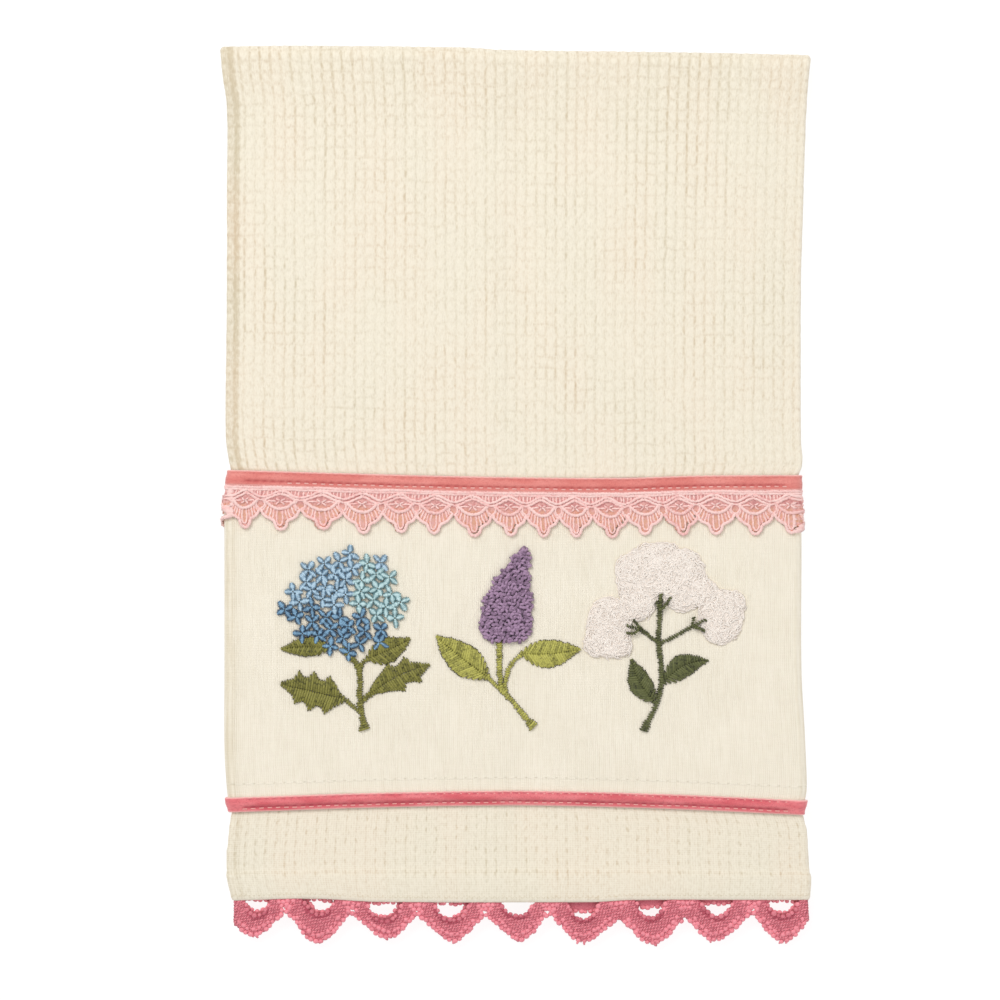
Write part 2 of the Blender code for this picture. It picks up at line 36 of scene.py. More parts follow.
# The cloth and the way its layers lie
CLOTH = 1.5                      # thickness of the waffle cloth
LAYER_GAP = 0.4                  # between a flap and the layer it is folded onto
PIECE_GAP = 0.3                  # between pieces that are sewn together
CROSS_FOLD_INSIDE = 1.6          # inner radius of the fold along the top
TURN = (CLOTH + LAYER_GAP) / 2   # radius of a side fold, at the cloth's middle surface
FLAP_HEIGHT = CROSS_FOLD_INSIDE + CLOTH / 2
FACE_HEIGHT = FLAP_HEIGHT + 2 * TURN
MIDDLE = FACE_HEIGHT + CLOTH / 2  # height of the plane between the two halves
HALF_WIDTH = 105.0               # centre line to side fold, in the flat cloth
LEFT_FLAP = 94.3
RIGHT_FLAP = 91.3
HEM_EDGE = -150.4                # end of the front half
BACK_EDGE = -142.5               # end of the back half
FOLD_START = 160.0
CROSS_FOLD = math.pi * FACE_HEIGHT
BACK_END = 2 * FOLD_START + CROSS_FOLD - BACK_EDGE
HEM_DEPTH = 10.8
HEM_EXTRA = 0.5                  # how far a hem stands proud of the cloth
HEM_ROUND = 0.9                  # depth over which a hem's edge is rounded
HEM_STITCH = -148.4
PRESSED_CREASE = -102.6          # beside the left fold

# Where the cloth starts to turn round its side folds
SIDE_EDGES = (
    # along, left, right
    (-158.0, 103.4, 107.4),
    (-150.4, 103.3, 106.9),
    (-142.5, 104.9, 107.3),
    (-135.8, 105.6, 106.7),
    (-121.0, 104.5, 106.0),
    (-113.6, 103.4, 103.4),
    (-107.3, 104.1, 104.7),
    (-92.5, 105.0, 104.3),
    (-65.0, 105.0, 102.8),
    (-18.5, 105.0, 102.8),
    (-4.8, 105.0, 102.6),
    (4.0, 103.4, 101.9),
    (11.0, 104.9, 104.5),
    (20.0, 106.0, 104.1),
    (76.0, 105.6, 104.1),
    (109.0, 105.6, 104.9),
    (142.5, 105.6, 106.0),
    (153.5, 107.1, 106.7),
    (165.0, 108.2, 107.8),
)

# How far the ribbons, the hem and the top wander from straight lines, from left to right
UPPER_BOW = ((-106, 2.0), (-36, 0.0), (-6, -0.6), (38, -1.0), (68, -0.1), (106, 0.1))
LOWER_BOW = ((-107, -1.7), (-50, 0.2), (2, 0.9), (55, -0.3), (107, -2.7))
HEM_BOW = ((-106, 0.0), (-76, 0.9), (-52, -0.3), (28, -0.4), (44, 0.4), (107, 0.3))
TOP_SKEW = ((-109, 1.5), (-85, 1.9), (-20, 1.3), (-5, 0.4), (50, -0.35), (90, -1.1), (110, -1.6))
UPPER_LINE = 4.5
LOWER_LINE = -113.0

# How far the face sags
EDGE_SAG = 1.0                   # at the side folds above and below the panel
BAND_SAG = 0.3                   # at the side folds along the panel
CHANNEL = (-10.0, 13.0)          # between the free edges of the flaps
CHANNEL_SAG = 0.7
OVERHANG_DROP = 4.5              # at the lace's tips, past the back half
OVERHANG = 24.0
RIPPLE = 0.25

# Sewn-on pieces
TRIM = 1.0                       # their thickness
SEWN_SHORT = 1.0                 # how much shorter than the cloth they are at either end
PANEL_LIFT = CLOTH / 2 + PIECE_GAP
RIBBON_LIFT = PANEL_LIFT + TRIM + PIECE_GAP
RIBBON_WIDTH = 5.6
PANEL_TOP = UPPER_LINE + 0.4
PANEL_FOOT = LOWER_LINE - 0.4

# Row of stitches above the panel's lower edge
SEAM_LINE = -105.5
SEAM_PITCH = 3.75

# Waffle weave
CELL_ACROSS = 3.7
CELL_ALONG = 3.98
CELL_PARTS = 4
WAFFLE_DEPTH = 0.34
LOW_DEPTH_SHARE = 0.3            # how deep the weave still is below the panel, where it is pulled flat
UNEVEN_CELLS = 64                # after so many cells the uneven depths repeat
UNEVEN = np.random.default_rng(3).uniform(0.3, 0.95, (2, UNEVEN_CELLS, UNEVEN_CELLS))


# ---------------------------------------------------------------- folding

def smooth(table, place, column=1):
    """Smooth curve through one column of a table, level beyond its first and last rows."""
    rows = np.array(table, float)
    places, levels = rows[:, 0], rows[:, column]
    order = np.arange(len(rows))
    before, after = np.maximum(order - 1, 0), np.minimum(order + 1, len(rows) - 1)
    slopes = (levels[after] - levels[before]) / (places[after] - places[before])
    place = np.clip(place, places[0], places[-1])
    row = np.clip(np.searchsorted(places, place, side="right") - 1, 0, len(rows) - 2)
    span = places[row + 1] - places[row]
    t = (place - places[row]) / span
    rise = t * t * (3 - 2 * t)
    level = levels[row] * (1 - rise) + levels[row + 1] * rise
    return level + span * t * (1 - t) * (slopes[row] * (1 - t) - slopes[row + 1] * t)


def step(start, end, place):
    """0 before start, 1 after end and a soft rise between."""
    t = np.clip((place - start) / (end - start), 0.0, 1.0)
    return t * t * (3 - 2 * t)


def hump(place, centre, full, reach):
    """1 within full of the centre, 0 beyond reach."""
    return 1.0 - step(full, reach, np.abs(place - centre))


def rounded(depth, radius):
    """Share of a sheet's full height at this depth from its rounded edge."""
    return np.sqrt(1 - (1 - np.clip(depth / radius, 0, 1)) ** 2)


def side_edge(along, across):
    """Where the side fold starts on the page, at this height and on this side."""
    return np.where(across < 0, smooth(SIDE_EDGES, along, 1), smooth(SIDE_EDGES, along, 2))


def cloth_across(page_x, page_y):
    """Place in the flat cloth of a point on the page's front."""
    return page_x * HALF_WIDTH / side_edge(page_y, page_x)


def flap_across(page_x, page_y):
    """Place in the flat cloth of a point on the flap behind that page point."""
    front = cloth_across(page_x, page_y)
    return np.copysign(2 * HALF_WIDTH + math.pi * TURN, front) - front


def flap_end(length):
    """Place in the flat cloth of the free edge of a flap of this length."""
    return HALF_WIDTH + math.pi * TURN + length


def settle(x, y, z, across, along):
    """Uneven lie of the folded towel, in millimetres."""
    front = 1.0 - step(FOLD_START - 25, FOLD_START, along)
    bow = (smooth(UPPER_BOW, x) * hump(y, UPPER_LINE, 15, 75)
           + smooth(LOWER_BOW, x) * hump(y, LOWER_LINE, 12, 35)
           + smooth(HEM_BOW, x) * hump(y, HEM_EDGE, 2, 14))
    y = y + front * bow
    y = y + smooth(TOP_SKEW, x) * step(20, FOLD_START, y)
    in_band = hump(y, (UPPER_LINE + LOWER_LINE) / 2, 66, 90)
    drop = (BAND_SAG * in_band + EDGE_SAG * (1 - in_band)) * step(85, 108, np.abs(x))
    drop += OVERHANG_DROP * (np.maximum(BACK_EDGE - y, 0) / OVERHANG) ** 1.6
    channel = CHANNEL_SAG * hump(x, sum(CHANNEL) / 2, 1, (CHANNEL[1] - CHANNEL[0]) / 2)
    drop += np.where(np.abs(across) < HALF_WIDTH, channel, 0.0)
    ripple = RIPPLE * np.sin(x / 23 + 0.8) * np.sin(y / 37 + 0.4) * (1 - 0.6 * in_band)
    z = z + front * (ripple - drop)
    on_back = along > FOLD_START + CROSS_FOLD
    z = z + np.where(on_back, HEM_EXTRA * step(HEM_DEPTH + 12, HEM_DEPTH + 1, BACK_END - along), 0.0)
    return np.stack([x, y, z], axis=-1)


def fold(flat):
    """Folded places, in metres, of points of the flat pattern."""
    across, along, lift = np.moveaxis(np.asarray(flat, float), -1, 0)
    turned = np.clip((along - FOLD_START) / FACE_HEIGHT, 0, math.pi)
    past_fold = np.maximum(along - FOLD_START - CROSS_FOLD, 0)
    page_y = np.minimum(along, FOLD_START) + FACE_HEIGHT * np.sin(turned) - past_fold

    edge = side_edge(page_y, across)
    reach = np.abs(across)
    past = np.clip((reach - HALF_WIDTH) / TURN, 0, math.pi)
    past_turn = np.maximum(reach - HALF_WIDTH - math.pi * TURN, 0)
    x = (np.minimum(reach, HALF_WIDTH) - past_turn) * edge / HALF_WIDTH + (TURN + lift) * np.sin(past)
    height = (TURN + lift) * np.cos(past) - TURN + FACE_HEIGHT

    y = np.minimum(along, FOLD_START) + height * np.sin(turned) - past_fold
    z = MIDDLE + height * np.cos(turned)
    return settle(np.copysign(x, across), y, z, across, along) * MM


# ---------------------------------------------------------------- meshes

def coordinates(mesh):
    """Vertex places of a mesh as an array."""
    places = np.empty(len(mesh.vertices) * 3, np.float32)
    mesh.vertices.foreach_get("co", places)
    return places.reshape(-1, 3).astype(float)


def place_vertices(mesh, places):
    """Move a mesh's vertices to these places."""
    mesh.vertices.foreach_set("co", np.asarray(places, np.float32).ravel())
    mesh.update()


def mark(mesh, name, values):
    """Store a value or a place for each vertex, for the materials to read."""
    values = np.asarray(values, np.float32)
    kind, field = ("FLOAT", "value") if values.ndim == 1 else ("FLOAT_VECTOR", "vector")
    mesh.attributes.new(name, kind, "POINT").data.foreach_set(field, values.ravel())


def mark_still(mesh, tint):
    """Marks of a shape that is no thread: its tint, and no painted shade of a dive at its ends."""
    mark(mesh, "tint", tint)
    mark(mesh, "reach", np.full(len(mesh.vertices), 0.5))


def to_mesh(bm, name):
    """Mesh of a bmesh, which is then freed."""
    mesh = bpy.data.meshes.new(name)
    bm.to_mesh(mesh)
    bm.free()
    return mesh


def grid(columns, rows, name):
    """Flat grid of this many faces across and along, with the column and row of each of its vertices."""
    bm = bmesh.new()
    bmesh.ops.create_grid(bm, x_segments=columns, y_segments=rows, size=1.0)
    mesh = to_mesh(bm, name)
    places = coordinates(mesh)
    column = np.rint((places[:, 0] + 1) / 2 * columns).astype(int)
    row = np.rint((places[:, 1] + 1) / 2 * rows).astype(int)
    return mesh, column, row


def close_sheet(mesh):
    """Merge the seam of a sheet that a grid was wrapped into, and fill its two open ends."""
    bm = bmesh.new()
    bm.from_mesh(mesh)
    bmesh.ops.remove_doubles(bm, verts=bm.verts, dist=0.0005)
    ends = [edge for edge in bm.edges if edge.is_boundary]
    filled = bmesh.ops.holes_fill(bm, edges=ends, sides=0)
    bmesh.ops.triangulate(bm, faces=filled["faces"])
    bmesh.ops.recalc_face_normals(bm, faces=bm.faces)
    bm.to_mesh(mesh)
    bm.free()


def sheet_mesh(name, outer, inner, rows, lifts, inner_lift):
    """Closed sheet in the flat: a fine upper side that turns round the edges into a coarse lower one.

    outer and inner are the columns of each side and rows the places along. lifts gives the height of
    the upper side at (across, along), and inner_lift is the lower side's: a number, or a function of
    along.
    """
    across = np.concatenate([outer, inner[::-1]])
    across = np.append(across, outer[0])
    is_inner = np.concatenate([np.zeros(len(outer)), np.ones(len(inner)), [0]])
    mesh, column, row = grid(len(across) - 1, len(rows) - 1, name)
    x, y = across[column], np.asarray(rows, float)[row]
    upper, lower = lifts(x, y), inner_lift(y) if callable(inner_lift) else inner_lift
    flat = np.stack([x, y, np.where(is_inner[column] > 0, lower, upper)], axis=-1)
    place_vertices(mesh, flat)
    close_sheet(mesh)
    return mesh


def tiled(template, count, name):
    """Mesh of many copies of a small shape, and the place of each vertex in the template."""
    source = to_mesh(template, "template")
    corners = np.empty(len(source.loops), np.int32)
    source.loops.foreach_get("vertex_index", corners)
    starts = np.empty(len(source.polygons), np.int32)
    source.polygons.foreach_get("loop_start", starts)
    shape = coordinates(source)
    copy = np.arange(count, dtype=np.int32)[:, None]
    mesh = bpy.data.meshes.new(name)
    mesh.vertices.add(len(shape) * count)
    mesh.loops.add(len(corners) * count)
    mesh.polygons.add(len(starts) * count)
    mesh.loops.foreach_set("vertex_index", (corners + copy * len(shape)).ravel())
    mesh.polygons.foreach_set("loop_start", (starts + copy * len(corners)).ravel())
    bpy.data.meshes.remove(source)
    return mesh, shape


def strands(name, paths, width, height, sides=6, tints=0.5, tip=0.55):
    """Threads along paths, an array of (thread, point, xyz), with ends of a share of their size.

    width and height are half sizes of the thread, numbers or arrays of (thread, point). tints has a
    value for each thread, or one for all.
    """
    paths = np.asarray(paths, float)
    count, points = paths.shape[:2]
    bm = bmesh.new()
    bmesh.ops.create_cone(bm, cap_ends=True, segments=sides, radius1=1, radius2=1, depth=points - 1)
    for k in range(1, points - 1):
        everything = bm.verts[:] + bm.edges[:] + bm.faces[:]
        level = (0, 0, k - (points - 1) / 2)
        bmesh.ops.bisect_plane(bm, geom=everything, dist=0.0001, plane_co=level, plane_no=(0, 0, 1))
    mesh, shape = tiled(bm, count, name)
    at = np.rint(shape[:, 2] + (points - 1) / 2).astype(int)

    forward = np.gradient(paths, axis=1)
    forward /= np.linalg.norm(forward, axis=2, keepdims=True) + 1e-9
    chord = paths[:, -1:] - paths[:, :1]
    level_side = np.cross(forward, (0, 0, 1)) + 0.01 * np.cross(chord, (0, 0, 1))
    level_side /= np.linalg.norm(level_side, axis=2, keepdims=True) + 1e-9
    upward = np.cross(level_side, forward)
    width = np.broadcast_to(width, (count, points)).copy()
    height = np.broadcast_to(height, (count, points)).copy()
    for half in (width, height):
        half[:, 0] *= tip
        half[:, -1] *= tip
    places = (paths[:, at]
              + level_side[:, at] * (width[:, at] * shape[:, 0])[..., None]
              + upward[:, at] * (height[:, at] * shape[:, 1])[..., None])
    place_vertices(mesh, places)
    mark(mesh, "tint", np.repeat(np.broadcast_to(tints, count), len(shape)))
    mark(mesh, "reach", np.tile(at / (points - 1), count))
    return mesh


def joined(name, meshes):
    """One mesh of several, which keep their materials and marks."""
    pieces = [bpy.data.objects.new(name, mesh) for mesh in meshes]
    for piece in pieces:
        bpy.context.scene.collection.objects.link(piece)
    with bpy.context.temp_override(active_object=pieces[0], selected_editable_objects=pieces,
                                   selected_objects=pieces, object=pieces[0]):
        bpy.ops.object.join()
    mesh = pieces[0].data
    bpy.data.objects.remove(pieces[0])
    return mesh


def folded(name, mesh, finish, node):
    """Fold a flat mesh and make it the finished piece that stands for that node.

    The finish is given to a mesh whose parts don't have their own.
    """
    flat = coordinates(mesh)
    mark(mesh, "flat", flat)
    place_vertices(mesh, fold(flat))
    if not mesh.materials:
        mesh.materials.append(finish)
    mesh.shade_smooth()
    piece = bpy.data.objects.new(name, mesh)
    bpy.context.scene.collection.objects.link(piece)
    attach(piece, "root")
    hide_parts(node)
    return piece


# ---------------------------------------------------------------- materials

class Field:
    """A value that varies over a surface; arithmetic on it adds Math nodes."""

    def __init__(self, finish, socket):
        self.finish, self.socket = finish, socket

    def math(self, operation, *values):
        """Result of a Math node."""
        return self.finish.node("Math", {"operation": operation}, *values)

    def __add__(self, other):
        return self.math('ADD', self, other)

    def __sub__(self, other):
        return self.math('SUBTRACT', self, other)

    def __mul__(self, other):
        return self.math('MULTIPLY', self, other)

    def __truediv__(self, other):
        return self.math('DIVIDE', self, other)

    def __rsub__(self, other):
        return self.math('SUBTRACT', other, self)

    def __mod__(self, other):
        return self.math('FLOORED_MODULO', self, other)

    def __abs__(self):
        return self.math('ABSOLUTE', self)

    __radd__ = __add__
    __rmul__ = __mul__

    def rise(self, start, end):
        """0 before start, 1 after end and a soft rise between."""
        return self.finish.node("MapRange", {"interpolation_type": 'SMOOTHSTEP'}, self, start, end)

    def fall(self, start, end):
        """1 before start, 0 after end and a soft fall between."""
        return 1.0 - self.rise(start, end)

    def wave(self):
        """Sine of the value."""
        return self.math('SINE', self)

    def floor(self):
        """Whole number at or below the value."""
        return self.math('FLOOR', self)


class Finish:
    """A material, built from nodes."""

    def __init__(self, name, roughness=0.9, sheen=0.0, specular=0.3):
        self.material = bpy.data.materials.new(name)
        self.material.use_nodes = True
        self.tree = self.material.node_tree
        self.shader = self.tree.nodes["Principled BSDF"]
        self.shader.inputs["Roughness"].default_value = roughness
        self.shader.inputs["Sheen Weight"].default_value = sheen
        self.shader.inputs["Specular IOR Level"].default_value = specular

    def connect(self, value, socket):
        """Link a field to a socket, or set the socket to a plain value."""
        if isinstance(value, Field):
            self.tree.links.new(value.socket, socket)
        else:
            socket.default_value = value

    def node(self, kind, settings=None, *values, output=None, **named):
        """Add a node with these settings and inputs, and give the named output, or else its first."""
        node = self.tree.nodes.new("ShaderNode" + kind)
        for setting, value in (settings or {}).items():
            setattr(node, setting, value)
        for socket, value in zip([socket for socket in node.inputs if socket.enabled], values):
            self.connect(value, socket)
        for title, value in named.items():
            self.connect(value, node.inputs[title])
        first = [socket for socket in node.outputs if socket.enabled][0]
        return Field(self, node.outputs[output] if output else first)

    def flat(self):
        """Place in the flat pattern, in millimetres."""
        return self.node("Attribute", {"attribute_name": "flat"}, output="Vector")

    def place(self):
        """Place in the flat pattern, and how far that is across and along."""
        flat = self.flat()
        return flat, *(self.node("SeparateXYZ", None, flat, output=part) for part in "XY")

    def number(self, title):
        """Value that is marked on the mesh."""
        return self.node("Attribute", {"attribute_name": title}, output="Fac")

    def noise(self, vector, scale, detail=2.0, stretch=None):
        """Soft noise around 0.5; a stretch above 1 makes it finer in that direction."""
        if stretch:
            vector = self.node("VectorMath", {"operation": 'MULTIPLY'}, vector, stretch)
        return self.node("TexNoise", None, Vector=vector, Scale=scale, Detail=detail)

    def chance(self, column, row, layer):
        """Random value from 0 to 1 for each cell of a grid."""
        cell = self.node("CombineXYZ", None, column, row, layer)
        return self.node("TexWhiteNoise", None, cell)

    def mix(self, factor, low, high):
        """Colour between two colours."""
        return self.node("Mix", {"data_type": 'RGBA'}, factor, low, high)

    def colour(self, value):
        """Give the surface its colour."""
        self.connect(value, self.shader.inputs["Base Color"])

    def bump(self, height, distance, strength=1.0):
        """Raise the surface by height, in shares of the distance in metres."""
        normal = self.node("Bump", None, Strength=strength, Distance=distance, Height=height)
        self.connect(normal, self.shader.inputs["Normal"])


def screen(red, green, blue):
    """Colour as seen on a screen, from 0 to 255."""
    return (*(((c / 255 + 0.055) / 1.055) ** 2.4 for c in (red, green, blue)), 1.0)


def waffle_finish():
    """Cream cotton: soft cells between short uneven grooves in painted shade, fine threads and faint
    patches, with painted shade at its left fold, its hem's upper edge and toward its top fold, and painted
    light on the rounded edge of its hem.
    """
    finish = Finish("waffle_cotton", 0.92, 0.15)
    flat, across, along = finish.place()

    # cells of the weave, which wander a little and are staggered from column to column
    wander = finish.noise(flat, 0.16, 1.0) - 0.5
    u = across / CELL_ACROSS + wander * 0.2
    stagger = finish.chance((u + 0.5).floor(), 0.5, 5.0) * 0.24
    v = along / CELL_ALONG + wander * 0.3 + stagger
    column, row, beside, below = (u + 0.5).floor(), (v + 0.5).floor(), u.floor(), v.floor()
    from_row = abs(v - row)

    # painted shade in the grooves along, each broken at its rows, and in fainter lines across
    shift = finish.chance(column, below, 1.0) - 0.5
    from_groove = abs(u - column + shift * 0.1 + (v - below - 0.5) * shift * 0.16)
    groove = from_groove.fall(0.0, 0.22) * (from_row.rise(0.02, 0.32) * 0.65 + 0.35)
    groove = groove * (finish.chance(column, below, 2.0) * 0.5 + 0.4)
    groove = groove * (finish.chance(column, 0.5, 6.0) * 0.55 + 0.55)
    line = from_row.fall(0.0, 0.2) * finish.chance(beside, row, 3.0) * 0.34
    # painted highlight on the rounded middle of each cell
    cell_highlight = from_groove.rise(0.1, 0.5) * from_row.rise(0.1, 0.5) * 0.3

    # below the panel the weave is pulled flat: painted shade in short pits on a plain canvas
    low = along.fall(PANEL_FOOT - 2, PANEL_FOOT + 2)
    pit = from_groove.fall(0.03, 0.19) * from_row.fall(0.08, 0.36) * low
    pit = pit * (finish.chance(column, row, 4.0) * 0.75 + 0.2)
    pit = pit * along.rise(HEM_EDGE + 5, HEM_EDGE + 12)
    strength = finish.noise(flat, 0.025, 1.0).rise(0.35, 0.65) * 0.65 + 0.5
    fleck = finish.noise(flat, 1.3, 3.0, (1.0, 0.6, 1.0)) - 0.5
    canvas = ((across * (math.tau / 0.93)).wave() + (along * (math.tau / 0.8)).wave()) * low
    fibre = finish.noise(flat, 1.0, 1.0, (3.2, 0.5, 1.0)) - 0.5
    patch = finish.noise(flat, 0.035, 1.0, (1.4, 0.5, 1.0)).rise(0.32, 0.7)

    # painted shade in the crease beside the left fold and where the cloth turns round that fold; the zigzag
    # of the hem's stitches, and painted shade along the hem's upper edge
    from_crease = abs(across - PRESSED_CREASE)
    left_fold_shade = from_crease.fall(0.3, 1.6) * 0.8 + across.fall(-105.5, -102.5) * 0.6
    zigzag = abs(along - HEM_STITCH + (across * (math.tau / 1.9)).wave() * 0.3)
    # painted shade along the hem's upper edge, where it stands proud of the single cloth, beside the zigzag
    # of its stitches
    hem = zigzag.fall(0.1, 0.45) * 0.35 + abs(along - HEM_EDGE - HEM_DEPTH).fall(0.1, 0.9) * 0.2

    shade = groove * strength * (1.0 - low * 0.6) + line * (1.0 - low * 0.8) * strength
    shade = shade - cell_highlight * (1.0 - low) + pit * 0.7 + canvas * 0.12
    shade = shade + fleck * 1.2 + fibre * 0.9 + left_fold_shade * (1.0 - low * 0.65) + hem
    # painted shade, darker toward the top fold, and painted light on the rounded edge at the front half's
    # end, where it turns away from the light
    shade = shade + along.rise(120, 165) * 0.18 - along.fall(HEM_EDGE + 0.3, HEM_EDGE + 1.3) * 0.6
    warm = finish.mix(patch * 0.4, screen(246, 238, 219), screen(248, 236, 217))
    dark = finish.mix(patch * 0.8, screen(212, 199, 171), screen(219, 197, 167))
    finish.colour(finish.mix(shade.rise(-0.35, 1.35), warm, dark))
    finish.bump(fibre * 0.6 + fleck, 0.0005, 0.5)
    return finish.material


def plain_weave_finish():
    """Cream cotton with fine pinstripes and a few slubs, with painted shade along its left fold and in the
    needle holes of its row of stitches.
    """
    finish = Finish("plain_cotton", 0.9, 0.1)
    flat, across, along = finish.place()
    weft = (across * (math.tau / 0.75)).wave()
    warp = (along * (math.tau / 0.62)).wave()
    slub = finish.noise(flat, 1.2, 2.0, (3.0, 0.12, 1.0)) - 0.5
    cross_slub = finish.noise(flat, 1.2, 2.0, (0.2, 2.4, 1.0)) - 0.5
    patch = finish.noise(flat, 0.05, 2.0).rise(0.35, 0.65)
    in_stitch = abs((across / SEAM_PITCH) % 1.0 - 0.5)
    on_seam = abs(along - SEAM_LINE)
    # painted shade along the panel's left fold
    left_edge_shade = across.fall(-106.0, -101.0) * 0.55
    # painted shade in the needle holes of the row of stitches
    needle_shade = on_seam.fall(0.12, 0.45) * in_stitch.rise(0.34, 0.46)
    thread = on_seam.fall(0.1, 0.4) * in_stitch.fall(0.25, 0.36)
    shade = weft * 0.18 + warp * 0.02 + slub * 1.3 + cross_slub * 0.4
    shade = shade + needle_shade * 0.34 - thread * 0.15 + left_edge_shade
    base = finish.mix(patch * 0.6, screen(252, 244, 227), screen(248, 240, 222))
    finish.colour(finish.mix(shade.rise(-0.5, 1.5), base, screen(222, 209, 182)))
    finish.bump(weft * 0.3 + warp * 0.15 + slub + thread * 1.0 - needle_shade * 1.5, 0.00025, 0.6)
    return finish.material


def ribbon_finish(name, base, light, dark):
    """Velvet-like ribbon with brushed patches, painted shade in its stitched groove and a light fringe at
    its edges that is partly painted light.
    """
    finish = Finish(name, 0.7, 0.35)
    flat = finish.flat()
    brushed = finish.noise(flat, 0.16, 3.0, (0.5, 2.2, 1.0))
    pile = finish.noise(flat, 2.0, 3.0)
    # lighter in long soft streaks
    streaked = finish.mix(brushed.rise(0.3, 0.72), base, light)
    # painted shade in the stitched groove and in the crimped dips along the upper edge
    colour = finish.mix(finish.number("groove"), streaked, dark)
    colour = finish.mix((pile - 0.5).rise(-0.1, 0.35) * 0.5, colour, dark)
    # light fringe at both edges: partly the fuzzy fringe's own colour, partly painted light on the rounded
    # edges that slope away from the light
    finish.colour(finish.mix(finish.number("fringe_and_edge_light") * 0.8, colour, screen(255, 208, 200)))
    finish.bump(pile, 0.0004, 0.6)
    return finish.material


def thread_finish(name, dark, light, roughness=0.6, sheen=0.1, ends=0.4, specular=0.3, dive_from=0.55,
                  fluff=0.5, grain=2.6, needle_shade=0.0):
    """Thread of one dye: each thread a little lighter or darker, with painted shade, by ends, toward its
    ends where it dives.

    dive_from is where the painted shade of the dive begins, from 0 at a thread's middle to 1 at its ends.
    fluff and grain are the strength and fineness of the fibres, and the needle argument paints shade into a
    prick that splits each long stitch.
    """
    finish = Finish(name, roughness, sheen, specular)
    reach = finish.number("reach")
    tint = finish.number("tint")
    fibre = finish.noise(finish.flat(), grain, 2.0)
    # painted shade toward the ends of each thread, where it dives into the cloth
    dive = abs(reach * 2.0 - 1.0).rise(dive_from, 1.0) * ends
    shade = tint * 0.75 + (fibre - 0.5) * fluff + 0.25 - dive
    # painted shade in the prick that splits each long stitch
    if needle_shade:
        shade = shade - abs(reach - tint * 0.4 - 0.3).fall(0.0, 0.07) * needle_shade
    finish.colour(finish.mix(shade.rise(-0.1, 1.1), dark, light))
    finish.bump(fibre, 0.0003 * fluff, 0.5)
    return finish.material


# ---------------------------------------------------------------- cloth and panel

def waffle_height(across, along):
    """Height of the weave's surface below its highest points, with grooves of uneven depth."""
    u, v = across / CELL_ACROSS, along / CELL_ALONG
    column, row = np.rint(u).astype(int), np.rint(v).astype(int)
    beside, below = np.floor(u).astype(int), np.floor(v).astype(int)
    groove = (1 - step(0, 0.5, np.abs(u - column))) * UNEVEN[0][column % UNEVEN_CELLS, below % UNEVEN_CELLS]
    line = (1 - step(0, 0.5, np.abs(v - row))) * UNEVEN[1][beside % UNEVEN_CELLS, row % UNEVEN_CELLS]
    above = step(PANEL_FOOT - 4, PANEL_FOOT + 4, along)
    dash = 0.45 + 0.55 * step(0, 0.3, np.abs(v - row))
    pit = 1 - step(0.1, 0.45, np.abs(v - row))
    groove = groove * (pit + (dash - pit) * above)
    share = LOW_DEPTH_SHARE + (1 - LOW_DEPTH_SHARE) * above
    return -WAFFLE_DEPTH * share * (groove + 0.5 * line)


def outer_columns(front, short=0.0, turns=8, steps=13):
    """Columns of a sheet's upper side: its own on the front, fine at the side folds, wide on the flaps.

    short is how much shorter than the cloth the sheet is at either end.
    """
    turn = HALF_WIDTH + math.pi * TURN * np.arange(turns + 1) / turns
    left = np.linspace(flap_end(LEFT_FLAP - short), turn[-1] + 2, steps)
    right = np.linspace(turn[-1] + 2, flap_end(RIGHT_FLAP - short), steps)
    return np.concatenate([-left, -turn[::-1], front, turn, right])


def inner_columns(short=0.0):
    """Columns of a sheet's hidden lower side."""
    turn = HALF_WIDTH + math.pi * TURN * np.arange(6) / 5
    front = np.array([28.0, 50.0, 70.0, 88.0, 97.0])
    channel = [CHANNEL[0], -4.0, 1.5, 7.0, CHANNEL[1]]
    left = np.array([flap_end(LEFT_FLAP - short), HALF_WIDTH + 64, HALF_WIDTH + 30])
    right = np.array([HALF_WIDTH + 30, HALF_WIDTH + 64, flap_end(RIGHT_FLAP - short)])
    return np.concatenate([-left, -turn[::-1], -front[::-1], channel, front, turn, right])


def cloth_rows():
    """Rows of the cloth: quarters of a cell where the weave shows, wide steps elsewhere."""
    cell = CELL_ALONG / CELL_PARTS
    rim = [HEM_EDGE, HEM_EDGE + 0.25]
    lower = np.arange(math.ceil((HEM_EDGE + 0.6) / cell), math.ceil((PANEL_FOOT + 1) / cell)) * cell
    hidden = np.linspace(PANEL_FOOT + 5, PANEL_TOP - 6, 19)
    fold_end = FOLD_START + CROSS_FOLD + 5
    upper = np.arange(math.floor((PANEL_TOP - 1) / cell), math.floor(fold_end / cell)) * cell
    back = np.linspace(fold_end + 2, BACK_END - HEM_DEPTH - 2, 52)
    back_hem = BACK_END - np.array([HEM_DEPTH, HEM_DEPTH - 0.6, 5.0, 1.0, 0.25, 0])
    return np.concatenate([rim, lower, hidden, upper, back, back_hem])


def hem_share(along):
    """1 in a hem, 0 in the single cloth."""
    front = 1 - step(HEM_EDGE + HEM_DEPTH - 0.2, HEM_EDGE + HEM_DEPTH + 0.8, along)
    back = step(BACK_END - HEM_DEPTH - 0.8, BACK_END - HEM_DEPTH + 0.2, along)
    return front + back


def cloth_lift(across, along):
    """Upper side of the waffle cloth, rounded off at both hems."""
    hem = hem_share(along)
    weave = waffle_height(across, along) * (1 - 0.3 * hem)
    end = np.minimum(along - HEM_EDGE, BACK_END - along)
    return (CLOTH / 2 + HEM_EXTRA * hem + weave) * (0.12 + 0.88 * rounded(end, HEM_ROUND))


def under_cloth(along):
    """Lower side of the waffle cloth."""
    end = np.minimum(along - HEM_EDGE, BACK_END - along)
    return -CLOTH / 2 * (0.2 + 0.8 * step(0, HEM_ROUND, end))


